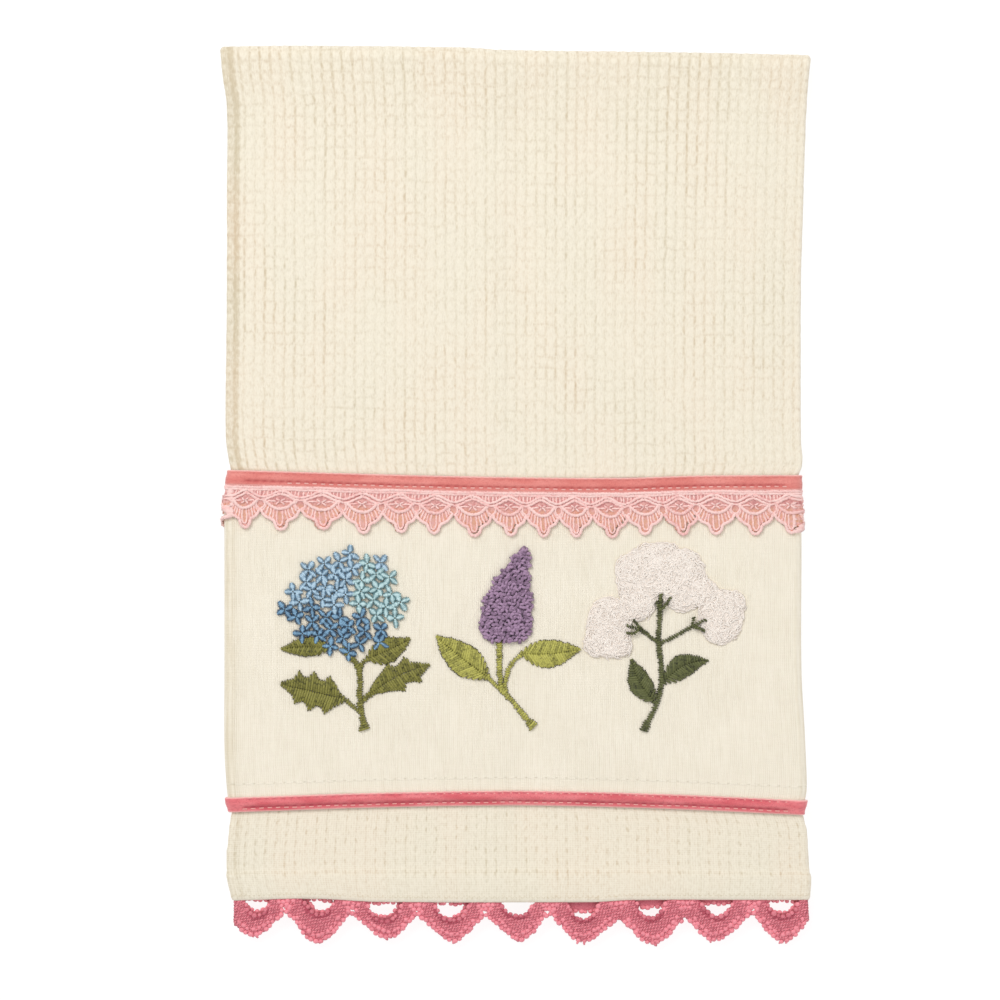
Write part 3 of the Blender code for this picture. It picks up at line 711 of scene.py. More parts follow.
def make_towel():
    """The waffle cloth, with columns at the quarters of its cells."""
    cell = CELL_ACROSS / CELL_PARTS
    count = math.floor((HALF_WIDTH - 0.3) / cell)
    columns = outer_columns(np.arange(-count, count + 1) * cell)
    mesh = sheet_mesh("waffle_towel", columns, inner_columns(), cloth_rows(), cloth_lift, under_cloth)
    return folded("waffle_towel", mesh, waffle_finish(), "towel_cloth")


def panel_lift(across, along):
    """Upper side of the panel, with faint slack waves between the ribbons."""
    slack = 0.12 * np.sin(across / 9 + 0.5) * np.sin(along / 14) * hump(along, -54, 35, 55)
    return PANEL_LIFT + TRIM + slack * hump(across, 0, 80, 104)


def make_panel():
    """The plain-weave panel between the ribbons."""
    columns = outer_columns(np.arange(-104, 105, 2.0), SEWN_SHORT)
    rows = np.linspace(PANEL_FOOT, PANEL_TOP, 56)
    mesh = sheet_mesh("embroidered_panel", columns, inner_columns(SEWN_SHORT), rows, panel_lift, PANEL_LIFT)
    return folded("embroidered_panel", mesh, plain_weave_finish(), "flower_panel")


def declare_cloth():
    """Sizes the cloth was cut to, and the width of the pieces sewn on it, worked out and not kept."""
    width = (flap_end(LEFT_FLAP) + flap_end(RIGHT_FLAP)) * MM
    (BACK_END - HEM_EDGE) * MM
    width - 2 * SEWN_SHORT * MM


# ---------------------------------------------------------------- ribbons

RIBBON_ROUND = 0.8               # width over which a ribbon's edges are rounded
RIBBON_FRONT = (100.5, 103.5)    # where crown, stitches and ruffle fade out toward the side folds
DASH_PITCH = 3.12
DASH_LINE = 1.55                 # height of the stitched groove above the ribbon's lower edge
CORAL_STITCHES = (
    # above the lower edge, length, half thickness, from where across
    (1.3, 1.9, 0.3, -86.0),
)
ROSE_STITCHES = (
    (1.3, 2.1, 0.2, -103.5),
    (4.7, 0.8, 0.14, -36.0),
)


def make_ribbon(name, node, line, panel_side, finish, rows_of_stitches, stitch, dash_shift):
    """Ribbon over an edge of the panel, stitched down along a groove near its lower edge.

    panel_side is 1 where the panel lies above the ribbon's line and -1 where it lies below. dash_shift
    moves the stitches along, as a share of their pitch.
    """
    foot, top = line - RIBBON_WIDTH / 2, line + RIBBON_WIDTH / 2
    dashes = foot + DASH_LINE
    shoulder = line - panel_side * 0.8
    rows = foot + RIBBON_WIDTH * (1 - np.cos(np.linspace(0, math.pi, 19))) / 2

    def dip(across):
        """1 where a stitch pulls the ribbon down, 0 between."""
        return 0.5 + 0.5 * np.cos(math.tau * (across / DASH_PITCH + dash_shift))

    def step_down(along, soft=0.5):
        """Drop from the panel to the waffle cloth."""
        return TRIM * step(shoulder + panel_side * soft, shoulder - panel_side * soft, along)

    def groove(across, along):
        """How far the stitches press the ribbon in, as a share of the deepest."""
        stitched = hump(along, dashes + 0.25, 0.1, 0.75) * (0.5 + 0.5 * dip(across))
        crimped = hump(along, top - 0.75, 0.05, 0.45) * dip(across + 1.1) * 0.6
        return (stitched + crimped) * hump(across, 0, *RIBBON_FRONT)

    def lift(across, along):
        """Upper side of the ribbon, crowned along its middle."""
        edge = np.minimum(along - foot, top - along)
        crown = 0.25 * hump(along, line + 0.3, 0.2, 2.2) * hump(across, 0, *RIBBON_FRONT)
        height = TRIM + crown - 0.6 * groove(across, along)
        height = height * (0.35 + 0.65 * rounded(edge, RIBBON_ROUND))
        return RIBBON_LIFT + height - step_down(along, 1.6)

    def under(along):
        """Lower side of the ribbon."""
        return RIBBON_LIFT - step_down(along)

    front = np.arange(-106.0, 106.1, DASH_PITCH / 4)
    columns = outer_columns(front[np.abs(front) < HALF_WIDTH - 0.3], SEWN_SHORT, turns=10, steps=30)
    band = sheet_mesh(name, columns, inner_columns(SEWN_SHORT), rows, lift, under)
    places = coordinates(band)
    on_top = step(RIBBON_LIFT - TRIM, RIBBON_LIFT + 0.2, places[:, 2])
    # how deep the groove is, marked for the painted shade in the ribbon's colour
    mark(band, "groove", np.clip(groove(places[:, 0], places[:, 1]), 0, 1) * on_top)
    # near both edges, where the fuzzy fringe and the painted light on the rounded edges go
    mark(band, "fringe_and_edge_light", 1 - step(0.05, 0.7, np.minimum(places[:, 1] - foot, top - places[:, 1])))
    ruffle = 0.16 * (dip(places[:, 0] + 1.1) - 0.5) * hump(places[:, 0], 0, *RIBBON_FRONT)
    places[:, 1] -= ruffle * step(line, top, places[:, 1])
    place_vertices(band, places)
    band.materials.append(finish)

    threads = [band]
    for shift, length, half, start in rows_of_stitches:
        first = math.ceil(-HALF_WIDTH / DASH_PITCH)
        centres = (np.arange(first, -first + 1) - dash_shift) * DASH_PITCH
        centres = centres[(centres > start) & (centres < HALF_WIDTH - 1)]
        t = np.linspace(-0.5, 0.5, 6)
        across = centres[:, None] + length * t
        along = np.broadcast_to(foot + shift + 0.1 * np.sin(centres * 2.3)[:, None], across.shape)
        height = lift(across, along) + 0.06 - 0.315 * (2 * t) ** 4
        thread = strands("dashes", np.stack([across, along, height], -1), half, half * 0.85)
        thread.materials.append(stitch)
        threads.append(thread)
    return folded(name, joined(name, threads), finish, node)


# ---------------------------------------------------------------- laces

# Pale lace: the tips of its scallops on the front, from left to right, and their pitch on the flaps
LACE_TOP = UPPER_LINE - RIBBON_WIDTH / 2
LACE_LIFT = RIBBON_LIFT + 0.45
UPPER_PITCH = 13.6
UPPER_TIPS = (-100.3, -87.0, -71.2, -56.4, -42.6, -30.5, -15.4, -2.2,
              10.3, 22.8, 36.4, 48.8, 63.1, 75.5, 90.5, 104.0)
HALF_SCALLOP = 6.8
LACE_WRAP = (-106.0, -108.6)     # valley and tip where the lace turns round the left fold
CHAIN_STEP = 0.58                # step along a cord, which swells at every other one
FINE_CORD = 0.4                  # thinner cords are left out where the lace turns round the left fold
GROUND = 0.2                     # thickness of the ground between the cords
GROUND_CELL = 0.9
GROUND_DEPTH = 16.2

# Lower edge of half a scallop, from its middle under the ribbon
SCALLOP_OUTLINE = ((0.0, -15.6), (1.4, -14.9), (1.9, -13.6), (2.4, -12.5), (3.6, -11.7), (4.9, -11.0),
                   (5.9, -9.8), (6.4, -8.8), (6.9, -8.2))

# Cords of one scallop, by points from the same middle; a mirrored one is also made on the other side
SCALLOP_CORDS = (
    # half thickness, lift, mirrored, points
    (0.55, 0.12, False, ((-7.7, -0.4), (-3.0, -0.35), (0.0, -0.3), (3.0, -0.35), (7.7, -0.4))),
    (0.48, 0.05, False, ((-7.7, -1.25), (-3.0, -1.15), (0.0, -1.05), (3.0, -1.15), (7.7, -1.25))),
    (0.52, 0.20, True, ((-7.0, -4.1), (-5.6, -3.9), (-3.4, -3.0), (-1.6, -2.0), (0.2, -1.6))),
    (0.50, 0.15, True, ((-7.0, -5.2), (-5.4, -5.0), (-3.2, -4.1), (-1.5, -3.2), (0.2, -2.8))),
    (0.62, 0.25, False, ((-5.4, -5.2), (-4.4, -6.2), (-3.1, -7.4), (-1.4, -8.2), (0.0, -8.4),
                             (1.4, -8.2), (3.1, -7.4), (4.4, -6.2), (5.4, -5.2))),
    (0.62, 0.22, False, ((-6.9, -8.3), (-6.4, -9.0), (-5.9, -10.2), (-4.9, -11.4), (-3.6, -12.1),
                             (-2.4, -12.8), (-2.0, -14.0), (-1.4, -15.3), (0.0, -16.0),
                             (1.4, -15.3), (2.0, -14.0), (2.4, -12.8), (3.6, -12.1), (4.9, -11.4),
                             (5.9, -10.2), (6.4, -9.0), (6.9, -8.3))),
    (0.36, 0.02, False, ((-0.9, -8.4), (-1.0, -10.5), (-1.0, -13.0), (-0.7, -14.1), (0.0, -14.6),
                             (0.7, -14.1), (1.0, -13.0), (1.0, -10.5), (0.9, -8.4))),
    (0.36, 0.0, True, ((-4.5, -6.3), (-5.2, -7.8), (-6.0, -9.2))),
    (0.36, 0.0, True, ((-3.7, -7.0), (-4.4, -8.9), (-5.1, -11.0))),
    (0.36, 0.0, True, ((-2.8, -7.6), (-3.3, -9.8), (-4.0, -11.8))),
    (0.34, 0.0, True, ((-1.9, -8.1), (-2.2, -10.2), (-2.7, -12.4))),
    (0.32, 0.0, True, ((-1.3, -1.0), (-1.2, -1.8))),
    (0.32, 0.0, True, ((-2.3, -1.0), (-2.2, -2.2))),
    (0.32, 0.0, True, ((-3.5, -1.0), (-3.5, -2.9))),
    (0.32, 0.0, True, ((-4.7, -1.0), (-4.8, -3.5))),
    (0.36, 0.0, True, ((-6.0, -1.0), (-6.1, -3.9))),
    (0.42, 0.12, True, ((-6.6, -5.0), (-5.6, -5.5), (-5.3, -6.7), (-5.8, -7.9), (-6.8, -8.3))),
    (0.44, 0.20, True, ((-0.15, -5.5), (-0.9, -5.0), (-1.6, -4.6))),
    (0.44, 0.20, True, ((-0.15, -5.7), (-0.9, -6.3), (-1.5, -6.9))),
    (0.34, 0.05, True, ((-1.2, -5.6), (-2.8, -5.5), (-4.6, -5.6))),
    (0.40, 0.18, True, ((-1.1, -1.8), (-0.5, -2.3), (0.1, -2.8))),
)


def through(points, count):
    """Places, evenly numbered, on a smooth curve through a few points."""
    points = np.asarray(points, float)
    lengths = np.linalg.norm(np.diff(points, axis=0), axis=1)
    passed = np.concatenate([[0], np.cumsum(lengths)])
    table = np.column_stack([passed, points])
    wanted = np.linspace(0, passed[-1], count)
    return np.stack([smooth(table, wanted, k + 1) for k in range(points.shape[1])], axis=-1)


def lace_net(left, right, top, depth, cell):
    """Flat net for the ground of a lace, and the middle of each of its cells."""
    bm = bmesh.new()
    bmesh.ops.create_grid(bm, x_segments=int((right - left) / cell), y_segments=int(depth / cell), size=1.0)
    for vert in bm.verts:
        vert.co.x = left + (vert.co.x + 1) / 2 * (right - left)
        vert.co.y = top - (1 - vert.co.y) / 2 * depth
    return bm, np.array([face.calc_center_median() for face in bm.faces])


def cut_net(bm, kept):
    """Cut away the cells of a net that aren't kept."""
    spare = [face for face, keep in zip(bm.faces[:], kept) if not keep]
    bmesh.ops.delete(bm, geom=spare, context='FACES')


def thick_net(bm, name, foot, thickness):
    """Mesh of a net that lies at this lift and is given this thickness."""
    bmesh.ops.translate(bm, vec=(0, 0, foot), verts=bm.verts)
    bmesh.ops.solidify(bm, geom=bm.faces[:], thickness=-thickness)
    bmesh.ops.recalc_face_normals(bm, faces=bm.faces)
    return to_mesh(bm, name)


def pale_ground(left, right):
    """Fine ground that fills the scallops between the cords; its colour is partly the lace's and partly
    painted shade of the panel seen between the cords.
    """
    bm, middles = lace_net(left[0], right[-1], LACE_TOP, GROUND_DEPTH, GROUND_CELL)
    for vert in bm.verts:
        vert.co.z = 0.25 * step(104.0, 105.5, abs(vert.co.x))
    scallop = np.clip(np.searchsorted(left, middles[:, 0], side="right") - 1, 0, len(left) - 1)
    half = (right[scallop] - left[scallop]) / 2
    from_middle = np.abs(middles[:, 0] - left[scallop] - half) / half * HALF_SCALLOP
    cut_net(bm, middles[:, 1] - LACE_TOP >= np.interp(from_middle, *zip(*SCALLOP_OUTLINE)))
    mesh = thick_net(bm, "ground", LACE_LIFT - GROUND, GROUND)
    finish = Finish("pale_lace_ground", 0.9)
    flat, across, along = finish.place()
    turns = math.tau / GROUND_CELL
    net = ((across + along) * turns).wave() * ((across - along) * turns).wave()
    low = (along - LACE_TOP + 6.5).fall(-1.5, 1.5)
    # colour of the gaps between the cords: partly the lace, partly the panel beneath in painted shade, tan
    # toward the tips
    shaded_gap = finish.mix(low, screen(220, 142, 142), screen(240, 178, 140))
    worked = finish.mix(finish.noise(flat, 0.9, 2.0).rise(0.4, 0.65), shaded_gap, screen(250, 190, 182))
    finish.colour(finish.mix(net.rise(-0.3, 0.5) * 0.6, worked, screen(255, 210, 203)))
    finish.bump(net, 0.0003, 0.6)
    mesh.materials.append(finish.material)
    return mesh


def make_pale_lace(random):
    """Scalloped lace of cords, hung from under the upper ribbon."""
    right_end, left_end = flap_end(RIGHT_FLAP - SEWN_SHORT), -flap_end(LEFT_FLAP - SEWN_SHORT)
    before = np.arange(LACE_WRAP[1], left_end + 5, -UPPER_PITCH)[::-1]
    after = np.arange(UPPER_TIPS[-1] + UPPER_PITCH, right_end - 5, UPPER_PITCH)
    tips = np.concatenate([before, UPPER_TIPS, after])
    valleys = (tips[1:] + tips[:-1]) / 2 - random.uniform(-0.2, 1.2, len(tips) - 1)
    valleys[len(before) - 1] = LACE_WRAP[0]
    left = np.concatenate([[tips[0] - HALF_SCALLOP], valleys])
    right = np.concatenate([valleys, [tips[-1] + HALF_SCALLOP]])
    middle, stretch = (left + right) / 2, (right - left) / 2 / HALF_SCALLOP
    lean, depth = tips - middle, random.uniform(0.96, 1.03, len(tips))
    cords = []
    for half, lift, mirrored, points in SCALLOP_CORDS:
        length = np.linalg.norm(np.diff(points, axis=0), axis=1).sum()
        samples = max(round(length / CHAIN_STEP), 3)
        chain = half * (1.08 + 0.2 * np.cos(math.pi * np.arange(samples)))
        for side in (1, -1) if mirrored else (1,):
            local = through(points, samples)
            arch = np.sin(np.linspace(0, math.pi, samples))[:, None]
            drift = random.normal(0, 0.13, (len(tips), 1, 2)) * arch
            local = local * (side, 1) + drift + random.normal(0, 0.07, (len(tips), samples, 2))
            along = LACE_TOP + local[..., 1] * depth[:, None]
            swing = lean[:, None] * step(-4.5, -13.0, local[..., 1])
            across = middle[:, None] + local[..., 0] * stretch[:, None] + swing
            sway = 0.05 * np.sin(across * 1.7 + along)
            height = np.broadcast_to(LACE_LIFT + lift, across.shape) + sway
            path = np.stack([across, along, height], -1)
            if half < FINE_CORD:
                path = np.delete(path, len(before) - 1, axis=0)
            tints = random.uniform(0.45, 1.1, len(path))
            cords.append(strands("cords", path, chain, chain * 0.85, tints=tints))
    finish = thread_finish("pale_cotton_cord", screen(242, 172, 168), screen(255, 218, 212), 0.9,
                           sheen=0.2, ends=0.05, fluff=1.5, grain=1.1)
    for cord in cords:
        cord.materials.append(finish)
    mesh = joined("pale_lace", [*cords, pale_ground(left, right)])
    return folded("pale_lace", mesh, finish, "upper_lace")


# Rose lace: lower edge on the page, and its half-moon holes on the front and on the flaps
LACE_TURNS = (
    # across, along
    (-106.5, -158.5),
    (-97.5, -163.9),
    (-85.5, -155.8),
    (-73.3, -166.1),
    (-61.2, -155.8),
    (-46.6, -164.6),
    (-36.7, -155.8),
    (-23.3, -165.8),
    (-11.3, -155.8),
    (1.5, -165.4),
    (12.5, -154.8),
    (24.2, -166.1),
    (38.1, -158.0),
    (51.1, -166.8),
    (62.7, -157.4),
    (73.6, -165.4),
    (87.5, -156.2),
    (99.4, -166.1),
    (110.0, -156.9),
)
LACE_PAGE = LACE_TURNS[0][1]     # height on the page at which the side folds of the lace are measured
FRONT_HOLES = (
    # left, right, top, foot
    (-100.1, -91.8, -149.0, -156.0),
    (-78.8, -67.3, -149.0, -155.6),
    (-54.8, -42.6, -149.0, -157.3),
    (-30.0, -17.8, -149.0, -156.9),
    (-5.2, 6.5, -149.0, -155.2),
    (19.6, 30.7, -149.0, -156.7),
    (44.8, 55.5, -149.0, -156.9),
    (68.8, 80.3, -149.0, -156.1),
    (93.5, 105.0, -149.0, -156.1),
)
FLAP_HOLES = (
    # left, right, top, foot
    (-100.3, -91.6, -150.8, -154.2),
    (-76.4, -67.4, -151.2, -154.7),
    (-56.0, -44.2, -151.2, -155.9),
    (-31.4, -19.6, -151.4, -156.2),
    (19.0, 31.0, -154.2, -157.5),
    (44.0, 56.0, -153.6, -157.5),
    (68.6, 80.6, -152.2, -157.0),
    (92.6, 104.0, -151.2, -155.0),
)
PINHOLES = (-85.6, -61.0, -36.4, -11.6, 12.2, 87.8)
PINHOLE_LINE = -153.9
PINHOLE_RADII = (1.1, 0.8)
ROSE_TOP = HEM_EDGE + 0.4
ROSE_DEPTH = 17.0
LACE_CELL = 0.75
SLAB = 0.32                      # half thickness of the ground under beads and threads
BEAD_PITCH = 1.92


def rose_edge(page_x):
    """Lower edge of the rose lace on the page: rounded scallops between narrow valleys."""
    turns = np.array(LACE_TURNS)
    page_x = np.clip(page_x, turns[0, 0], turns[-1, 0])
    row = np.clip(np.searchsorted(turns[:, 0], page_x, side="right") - 1, 0, len(turns) - 2)
    t = (page_x - turns[row, 0]) / (turns[row + 1, 0] - turns[row, 0])
    start, end = turns[row, 1], turns[row + 1, 1]
    rising = end > start
    t, valley, tip = np.where(rising, 1 - t, t), np.where(rising, end, start), np.where(rising, start, end)
    return valley + (tip - valley) * np.sin(math.pi * t / 2) ** 1.5


def page_of(across):
    """Page place of a point of the lace, seen through the layers, and whether it is on a flap."""
    reach = np.abs(across)
    edge = side_edge(LACE_PAGE, across)
    on_flap = reach > HALF_WIDTH + math.pi * TURN / 2
    behind = np.minimum(2 * HALF_WIDTH + math.pi * TURN - reach, HALF_WIDTH)
    page = np.where(on_flap, behind, np.minimum(reach, HALF_WIDTH)) * edge / HALF_WIDTH
    return np.copysign(page, across), on_flap


def in_hole(page_x, along, holes):
    """Whether a point lies in one of the half-moon holes."""
    inside = np.zeros(np.shape(page_x), bool)
    for left, right, top, foot in holes:
        u = (page_x - (left + right) / 2) / ((right - left) / 2)
        foot_here = top + (foot - top) * np.sqrt(np.clip(1 - u * u, 0, 1))
        inside |= (np.abs(u) < 1) & (along < top) & (along > foot_here)
    return inside


def in_lace(across, along, margin=0.0):
    """Whether a point of the flat pattern is lace, at least a margin inside its edges."""
    page_x, on_flap = page_of(across)
    low = rose_edge(page_x) + np.where(on_flap, 0.7, 0.0) + margin
    inside = (along > low) & (along < ROSE_TOP)
    for shift_x, shift_y in ((-margin, 0), (margin, 0), (0, margin), (0, -margin)):
        x, y = page_x + shift_x, along + shift_y
        inside &= ~np.where(on_flap, in_hole(x, y, FLAP_HOLES), in_hole(x, y, FRONT_HOLES))
    for pinhole in PINHOLES:
        u, v = (page_x - pinhole) / PINHOLE_RADII[0], (along - PINHOLE_LINE) / PINHOLE_RADII[1]
        inside &= np.hypot(u, v) > 1 + margin
    return inside


def rim_shade(page_x, along):
    """Painted shadow below the lower rim of each hole of the front: 1 there, 0 elsewhere."""
    shade = np.zeros(np.shape(page_x))
    for left, right, top, foot in FRONT_HOLES:
        u = (page_x - (left + right) / 2) / ((right - left) / 2 + 0.8)
        rim = top + (foot - top) * np.sqrt(np.clip(1 - u * u, 0, 1))
        near = hump(along, rim - 0.7, 0.7, 1.7) * (1 - step(0.75, 1.0, np.abs(u + 0.15)))
        shade = np.maximum(shade, near)
    return shade


def lace_slab():
    """Ground of the rose lace, cut out cell by cell and given its thickness."""
    left, right = -flap_end(LEFT_FLAP - 0.5), flap_end(RIGHT_FLAP - 0.5)
    bm, middles = lace_net(left, right, ROSE_TOP, ROSE_DEPTH, LACE_CELL)
    cut_net(bm, in_lace(middles[:, 0], middles[:, 1], 0.25))
    bmesh.ops.smooth_vert(bm, verts=[vert for vert in bm.verts if vert.is_boundary], factor=0.5,
                          use_axis_x=True, use_axis_y=True)
    mesh = thick_net(bm, "slab", -SLAB, 2 * SLAB)
    places = coordinates(mesh)
    page_x, on_flap = page_of(places[:, 0])
    # painted shade: the slab is a little darker than the floats, as the gaps between them, and darker still
    # in the painted shadow below the front's holes
    mark_still(mesh, 0.2 - 0.5 * np.where(on_flap, 0.0, rim_shade(page_x, places[:, 1])))
    return mesh


def spaced(points, pitch):
    """Places at an even pitch along a line, with the line's direction at each."""
    lengths = np.linalg.norm(np.diff(points, axis=0), axis=1)
    passed = np.concatenate([[0], np.cumsum(lengths)])
    wanted = np.arange(pitch / 2, passed[-1], passed[-1] / max(round(passed[-1] / pitch), 1))
    places = np.stack([np.interp(wanted, passed, points[:, k]) for k in range(2)], -1)
    ahead = np.stack([np.interp(wanted + 0.3, passed, points[:, k]) for k in range(2)], -1)
    return places, np.arctan2(*(ahead - places).T[::-1])


def bead_lines():
    """Lines that carry beads, on the page: the lower edge and the rim of each hole."""
    lines = []
    for on_flap, holes in ((False, FRONT_HOLES), (True, FLAP_HOLES)):
        low = 0.9 if on_flap else 0.2
        for (start, _), (end, _) in zip(LACE_TURNS[::2], LACE_TURNS[2::2]):
            x = np.linspace(start + 0.9, end - 0.9, 60)
            lines.append((on_flap, np.stack([x, rose_edge(x) + low + 0.35], -1)))
            if not on_flap:
                x = x[rose_edge(x) < LACE_PAGE - 0.6]
                lines.append((on_flap, np.stack([x, rose_edge(x) + 2.75], -1)))
        for left, right, top, foot in holes:
            turn = np.linspace(0, math.pi, 40)
            x = (left + right) / 2 + ((right - left) / 2 + 0.45) * np.cos(turn)
            rim = np.stack([x, top + (foot - 0.45 - top) * np.sin(turn)], -1)
            lines.append((on_flap, rim[rim[:, 1] < HEM_EDGE - 0.5]))
            if on_flap:
                lines.append((on_flap, np.array([(left + 0.3, top + 0.3), (right - 0.3, top + 0.3)])))
    for valley, _ in LACE_TURNS[2:-1:2]:
        lines.append((False, np.array([(valley - 3.6, -151.4), (valley + 3.6, -151.4)])))
        lines.append((False, np.array([(valley - 2.4, -153.1), (valley + 2.4, -153.1)])))
    for pinhole in PINHOLES:
        turn = np.linspace(-math.pi, math.pi, 30)
        ring = np.stack([pinhole + 1.6 * np.cos(turn), PINHOLE_LINE + 1.3 * np.sin(turn)], -1)
        lines.append((False, ring))
    return lines


def lace_beads(random):
    """Small knots along the edges of the rose lace."""
    rows = []
    for on_flap, line in bead_lines():
        places, turns = spaced(line, BEAD_PITCH)
        x, y = places.T
        shown = np.abs(x) < side_edge(LACE_PAGE, x) - 0.2
        if on_flap:
            shown &= (x < CHANNEL[0] - 2) | (x > CHANNEL[1] + 2)
        across = flap_across(x, LACE_PAGE) if on_flap else cloth_across(x, LACE_PAGE)
        turns = math.pi - turns if on_flap else turns
        rows.append(np.stack([across, y, turns], -1)[shown])
    rows = np.concatenate(rows)
    bm = bmesh.new()
    bmesh.ops.create_uvsphere(bm, u_segments=8, v_segments=4, radius=1.0)
    mesh, shape = tiled(bm, len(rows), "beads")
    count = len(rows)
    size = random.uniform(0.85, 1.2, (count, 1))
    long_way, short_way, height = 1.0 * size, 0.88 * size, 0.74 * size
    turn = (rows[:, 2] + random.normal(0, 0.15, count))[:, None]
    x, y = shape[:, 0] * long_way, shape[:, 1] * short_way
    shift = random.normal(0, 0.2, (count, 2))
    places = np.stack([rows[:, :1] + shift[:, :1] + x * np.cos(turn) - y * np.sin(turn),
                       rows[:, 1:2] + shift[:, 1:] + x * np.sin(turn) + y * np.cos(turn),
                       shape[:, 2] * height + 0.06], -1)
    place_vertices(mesh, places)
    page_x, on_flap = page_of(rows[:, 0])
    # painted shadow below the front's holes darkens the knots there
    hole_shadow = np.where(on_flap, 0.0, rim_shade(page_x, rows[:, 1]))
    mark_still(mesh, np.repeat(random.uniform(0.65, 1.15, count) - 0.55 * hole_shadow, len(shape)))
    return mesh


def lace_floats(random):
    """Slanting threads of the lace's cloth-stitch ground."""
    pitch, run, slant = 0.62, 1.9, math.radians(42)
    left, right = -flap_end(LEFT_FLAP - 1.5), flap_end(RIGHT_FLAP - 1.5)
    u, v = np.meshgrid(np.arange(-160, 160, pitch), np.arange(-170, 170, run), indexing="ij")
    v = v + run / 2 * (np.arange(u.shape[0]) % 2)[:, None]
    x = (v * math.cos(slant) - u * math.sin(slant)).ravel()
    y = (v * math.sin(slant) + u * math.cos(slant)).ravel()
    # the slanting rows are laid three times, side by side, to reach both flaps
    x, y = np.concatenate([x, x + 215, x - 215]), np.concatenate([y, y, y]) - 155
    near = (y > -168) & (y < HEM_EDGE) & (x > left) & (x < right)
    x, y = x[near], y[near]
    t = np.linspace(-1, 1, 4)
    reach = 0.78 * random.uniform(0.8, 1.05, (len(x), 1))
    heading = slant + random.normal(0, 0.16, (len(x), 1))
    path_x = x[:, None] + reach * t * np.cos(heading) + random.normal(0, 0.1, (len(x), 1))
    path_y = y[:, None] + reach * t * np.sin(heading) + random.normal(0, 0.1, (len(x), 1))
    kept = in_lace(path_x, path_y, 0.5).all(axis=1)
    path_x, path_y = path_x[kept], path_y[kept]
    lift = SLAB + 0.04 + 0.1 * (1 - t ** 2) + 0 * path_x
    page_x, on_flap = page_of(path_x.mean(axis=1))
    # painted shadow below the front's holes darkens the threads there
    hole_shadow = np.where(on_flap, 0.0, rim_shade(page_x, path_y.mean(axis=1)))
    tints = random.uniform(0.35, 0.85, len(path_x)) - 0.75 * hole_shadow
    paths = np.stack([path_x, path_y, lift], -1)
    return strands("floats", paths, width=0.26, height=0.16, sides=4, tints=tints)


def lace_tails(random):
    """Short frayed threads at the tips of the rose lace."""
    x, y = np.array(LACE_TURNS[1::2]).T
    x, y = np.tile(x, 2), np.tile(y, 2)
    t = np.linspace(0, 1, 4)
    heading = -math.pi / 2 + random.uniform(-0.9, 0.9, (len(x), 1))
    length = random.uniform(1.1, 1.7, (len(x), 1))
    path_x = x[:, None] + random.uniform(-1.8, 1.8, (len(x), 1)) + length * t * np.cos(heading)
    path_y = y[:, None] + 0.6 + length * t * np.sin(heading)
    across = cloth_across(path_x, LACE_PAGE)
    paths = np.stack([across, path_y, 0.1 + 0 * path_x], -1)
    return strands("tails", paths, width=0.5, height=0.4, tints=random.uniform(0.3, 0.9, len(x)))


def make_rose_lace(random):
    """Lace of the front hem: cut ground, knots, slanting threads and frayed tips."""
    parts = [lace_slab(), lace_beads(random), lace_floats(random), lace_tails(random)]
    mesh = joined("rose_lace", parts)
    finish = thread_finish("rose_cotton_thread", screen(184, 78, 96), screen(255, 156, 168), 0.8,
                           ends=0.3, fluff=0.9)
    return folded("rose_lace", mesh, finish, "hem_lace")


# ---------------------------------------------------------------- embroidery

PANEL_FACE = PANEL_LIFT + TRIM
SATIN_PITCH = 0.92
SATIN_HALF = 0.5
GOLDEN_TURN = math.pi * (3 - math.sqrt(5))

# Half width of a toothed leaf, as a share of its greatest, from its base to its tip
BROAD_TEETH = ((0, 0.12), (0.1, 0.4), (0.28, 1.0), (0.33, 0.68), (0.42, 0.7), (0.53, 1.05), (0.58, 0.64),
               (0.66, 0.62), (0.74, 0.85), (0.79, 0.44), (1, 0.04))
SLIM_TEETH = ((0, 0.08), (0.12, 0.16), (0.3, 0.52), (0.52, 0.98), (0.58, 0.6), (0.68, 0.66), (0.76, 0.95),
              (0.81, 0.46), (1, 0.04))

HYDRANGEA = {"centre": (-63.3, -39.6), "radii": (24.8, 21.6)}
HYDRANGEA_SIDE_BLADE = ((-68.3, -56.6), (-87.0, -57.1), 6.8, None, -0.6)
HYDRANGEA_BLADES = (
    # base, tip, width, teeth, bow
    ((-55.5, -60.7), (-39.0, -53.2), 9.0, None, -0.4),
    ((-63.5, -75.3), (-87.1, -69.9), 14.4, BROAD_TEETH, 0.0),
    ((-56.2, -75.3), (-31.8, -62.5), 12.0, SLIM_TEETH, 1.6),
)
HYDRANGEA_STALKS = (
    # points, width, foot
    (((-64.2, -56.4), (-58.1, -64.1), (-57.6, -75.3), (-56.6, -82.5), (-55.9, -86.9)), 2.0, 1.7),
    (((-57.9, -65.5), (-57.2, -62.7), (-54.6, -60.4)), 1.7, 0.0),
    (((-57.4, -80.3), (-64.2, -74.9)), 1.5, 0.0),
    (((-57.2, -76.4), (-53.8, -73.7)), 1.6, 0.0),
)
FLORETS = 49
FLORET_BASE = 0.6                # lift of the florets above the panel
FLORET_INSET = 2.6               # from the outermost florets' middles to the edge of the head
FLORET_DRIFT = 0.28
PETAL_LENGTH = 3.2
PETAL_WIDTH = 2.35
PETAL_STITCHES = 6

